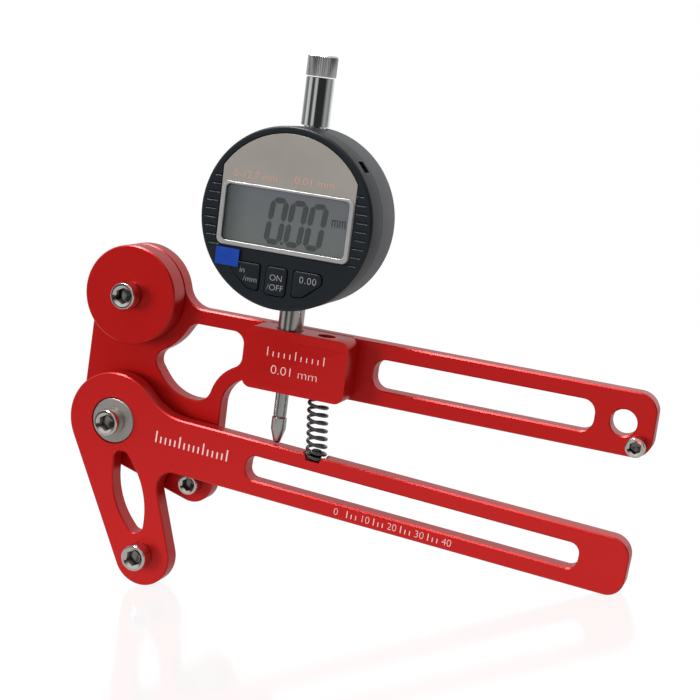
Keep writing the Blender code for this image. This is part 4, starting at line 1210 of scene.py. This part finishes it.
housingShape = {
    "rim": 1.2,
    "recess": 1.8,             # the rear cover's seat
    "ledge": (3.8, 1.2),       # width and thickness of the ledge under the cover
    "screwInset": 2.3,
    "screwHole": 1.1,
}


def buildHousing():
    shape, gap = housingShape, meter["fitGap"]
    radius, back = gaugeShape["housingRadius"], gaugeShape["housingBack"]
    inner = radius - gaugeShape["wall"]
    front = gaugeShape["bezelBack"] + gap
    recess = back - shape["recess"]
    ledge, thick = shape["ledge"]
    profile = [(inner, front), (radius - 0.2, front), (radius, front + 0.2), (radius, back - shape["rim"])]
    profile += roundedRim(radius, back, shape["rim"], back=True)
    profile += [(inner, back), (inner, recess), (inner - ledge, recess), (inner - ledge, recess - thick),
                (inner, recess - thick)]
    housing = turnedPiece("housing", profile, (0, 0), "y", 160, tube=True)
    cutWith(housing, uprightBar((0, meter["stemY"]), stemShape["radius"] + gap, -30, -20))
    cutWith(housing, uprightBar((0, meter["stemY"]), tubeShape["spigot"] + gap, 20, 30))
    ring = inner - shape["screwInset"]
    for i in range(4):
        angle = radians(45 + 90 * i)
        hole = circlePoints((ring * cos(angle), ring * sin(angle)), shape["screwHole"], 24)
        cutOut(housing, hole, recess - 3, back + 1)
    finishPiece(housing, housingPlastic, "gauge_housing", gaugeSpace)


# Stem, plunger and dust tube

stemShape = {"radius": 4.0, "bore": 2.19, "low": 24.0, "end": 24.0}      # end: below the gauge's centre


def buildStem():
    radius, bore, low = stemShape["radius"], stemShape["bore"], stemShape["low"]
    high = meter["gaugeZ"] - stemShape["end"]
    profile = [(bore, low), (radius - 0.4, low), (radius, low + 0.4), (radius, high), (bore, high)]
    stem = turnedPiece("stem", profile, stemAxis, "z", 96, tube=True)
    finishPiece(stem, groundSteel, "gauge_stem")


plungerShape = {
    "rod": 2.1,
    "rodHigh": 111.0,
    "point": 2.4,
    "pointHigh": 12.4,
    "pointLow": 3.55,
    "tip": 1.3,
    "taper": 4.4,
}


def buildPlunger():
    shape = plungerShape
    rod, rodHigh, point = shape["rod"], shape["rodHigh"], shape["point"]
    low, taper, high = shape["pointLow"], shape["pointLow"] + shape["taper"], shape["pointHigh"]
    profile = [(rod, high + meter["fitGap"]), (rod, rodHigh - 0.5), (rod - 0.5, rodHigh)]
    piece = turnedPiece("plungerRod", profile, stemAxis, "z", 64)
    finishPiece(piece, groundSteel, "plunger_rod", body="plunger")
    profile = [(0.1, low)] + roundedRim(shape["tip"], low, shape["tip"], range(15, 76, 15))
    profile += [(point - 0.1, taper), (point, taper + 0.3), (point, high - 0.4), (point - 0.4, high)]
    piece = turnedPiece("contactPoint", profile, stemAxis, "z", 64)
    finishPiece(piece, pointSteel, "contact_point", body="plunger")


tubeShape = {
    "radius": 4.4,
    "spigot": 3.4,
    "spigotLong": 4.4,
    "bore": 2.8,
    "gap": 0.4,                # between the housing and its shoulder
    "high": 119.2,
    "capRadius": 4.65,
    "capHigh": 126.0,
    "ridges": 48,
    "groove": 0.22,
}


def buildDustTube():
    shape = tubeShape
    radius, spigot, bore, high = shape["radius"], shape["spigot"], shape["bore"], shape["high"]
    low = meter["gaugeZ"] + gaugeShape["housingRadius"] + shape["gap"]
    root = low - shape["spigotLong"]
    profile = [(bore, root), (spigot, root), (spigot, low), (radius, low), (radius, high - 0.15),
               (radius - 0.15, high), (bore, high)]
    tube = turnedPiece("dustTube", profile, stemAxis, "z", 120, tube=True)
    finishPiece(tube, chrome, "dust_tube")
    radius, low, high = shape["capRadius"], high + meter["fitGap"], shape["capHigh"]
    profile = [(radius - 0.2, low), (radius, low + 0.2), (radius, high - 0.5), (radius - 0.5, high)]
    cap = turnedPiece("dustCap", profile, (0, 0), "z", shape["ridges"] * 2)
    step = 180 / shape["ridges"]
    share = (radius - shape["groove"]) / radius
    for vertex in cap.data.vertices:
        turn = degrees(atan2(vertex.co.y, vertex.co.x)) % 360
        if round(turn / step) % 2 == 0 and vertex.co.xy.length > radius - 0.1:
            vertex.co.x *= share
            vertex.co.y *= share
    cap.data.update()
    cap.data.transform(Matrix.Translation((*stemAxis, 0)))
    finishPiece(cap, knurledChrome, "dust_cap")


filmTab = {"x": (-20.9, -13.1), "z": (-16.6, -11.2), "corner": 0.2, "thick": 0.15}


def buildFilmTab():
    back = gaugeShape["bezelFront"] - keyShape["proud"] - meter["fitGap"]
    outline = boxPoints(filmTab["x"], filmTab["z"], filmTab["corner"])
    tab = flatPiece("filmTab", [outline], back - filmTab["thick"], back)
    finishPiece(tab, blueFilm, "film_tab", gaugeSpace)


# nodes that keep their shape, by finish
dressed = [
    (brightSteel, ["pivot_washer", "coin_cell"] + ["rear_cover_screw_%d" % i for i in range(1, 5)]),
    (blackScrew, ["stem_clamp_screw", "spring_guide_screw", "spring_seat_pin"]),
    (boardGreen, ["circuit_board", "encoder_scale"]),
    (paneClear, ["display_window"]),
    (housingPlastic, ["rear_cover"]),
    (bezelPlastic, ["battery_cover"]),
    (brass, ["plunger_guide"]),
    (springWire, ["plunger_spring"]),
]

buildFramePlate()
buildSpacerDisc()
buildLeverPlate()
print("plates ready")
buildHinge()
buildScrews()
buildHandleSpring()
print("hinge, screws and spring ready")
buildBezel()
buildFace()
buildKeys()
buildDigits()
buildMarkings()
buildHousing()
buildStem()
buildPlunger()
buildDustTube()
buildFilmTab()
for material, nodes in dressed:
    for node in nodes:
        dressNode(node, material)
print("indicator ready")
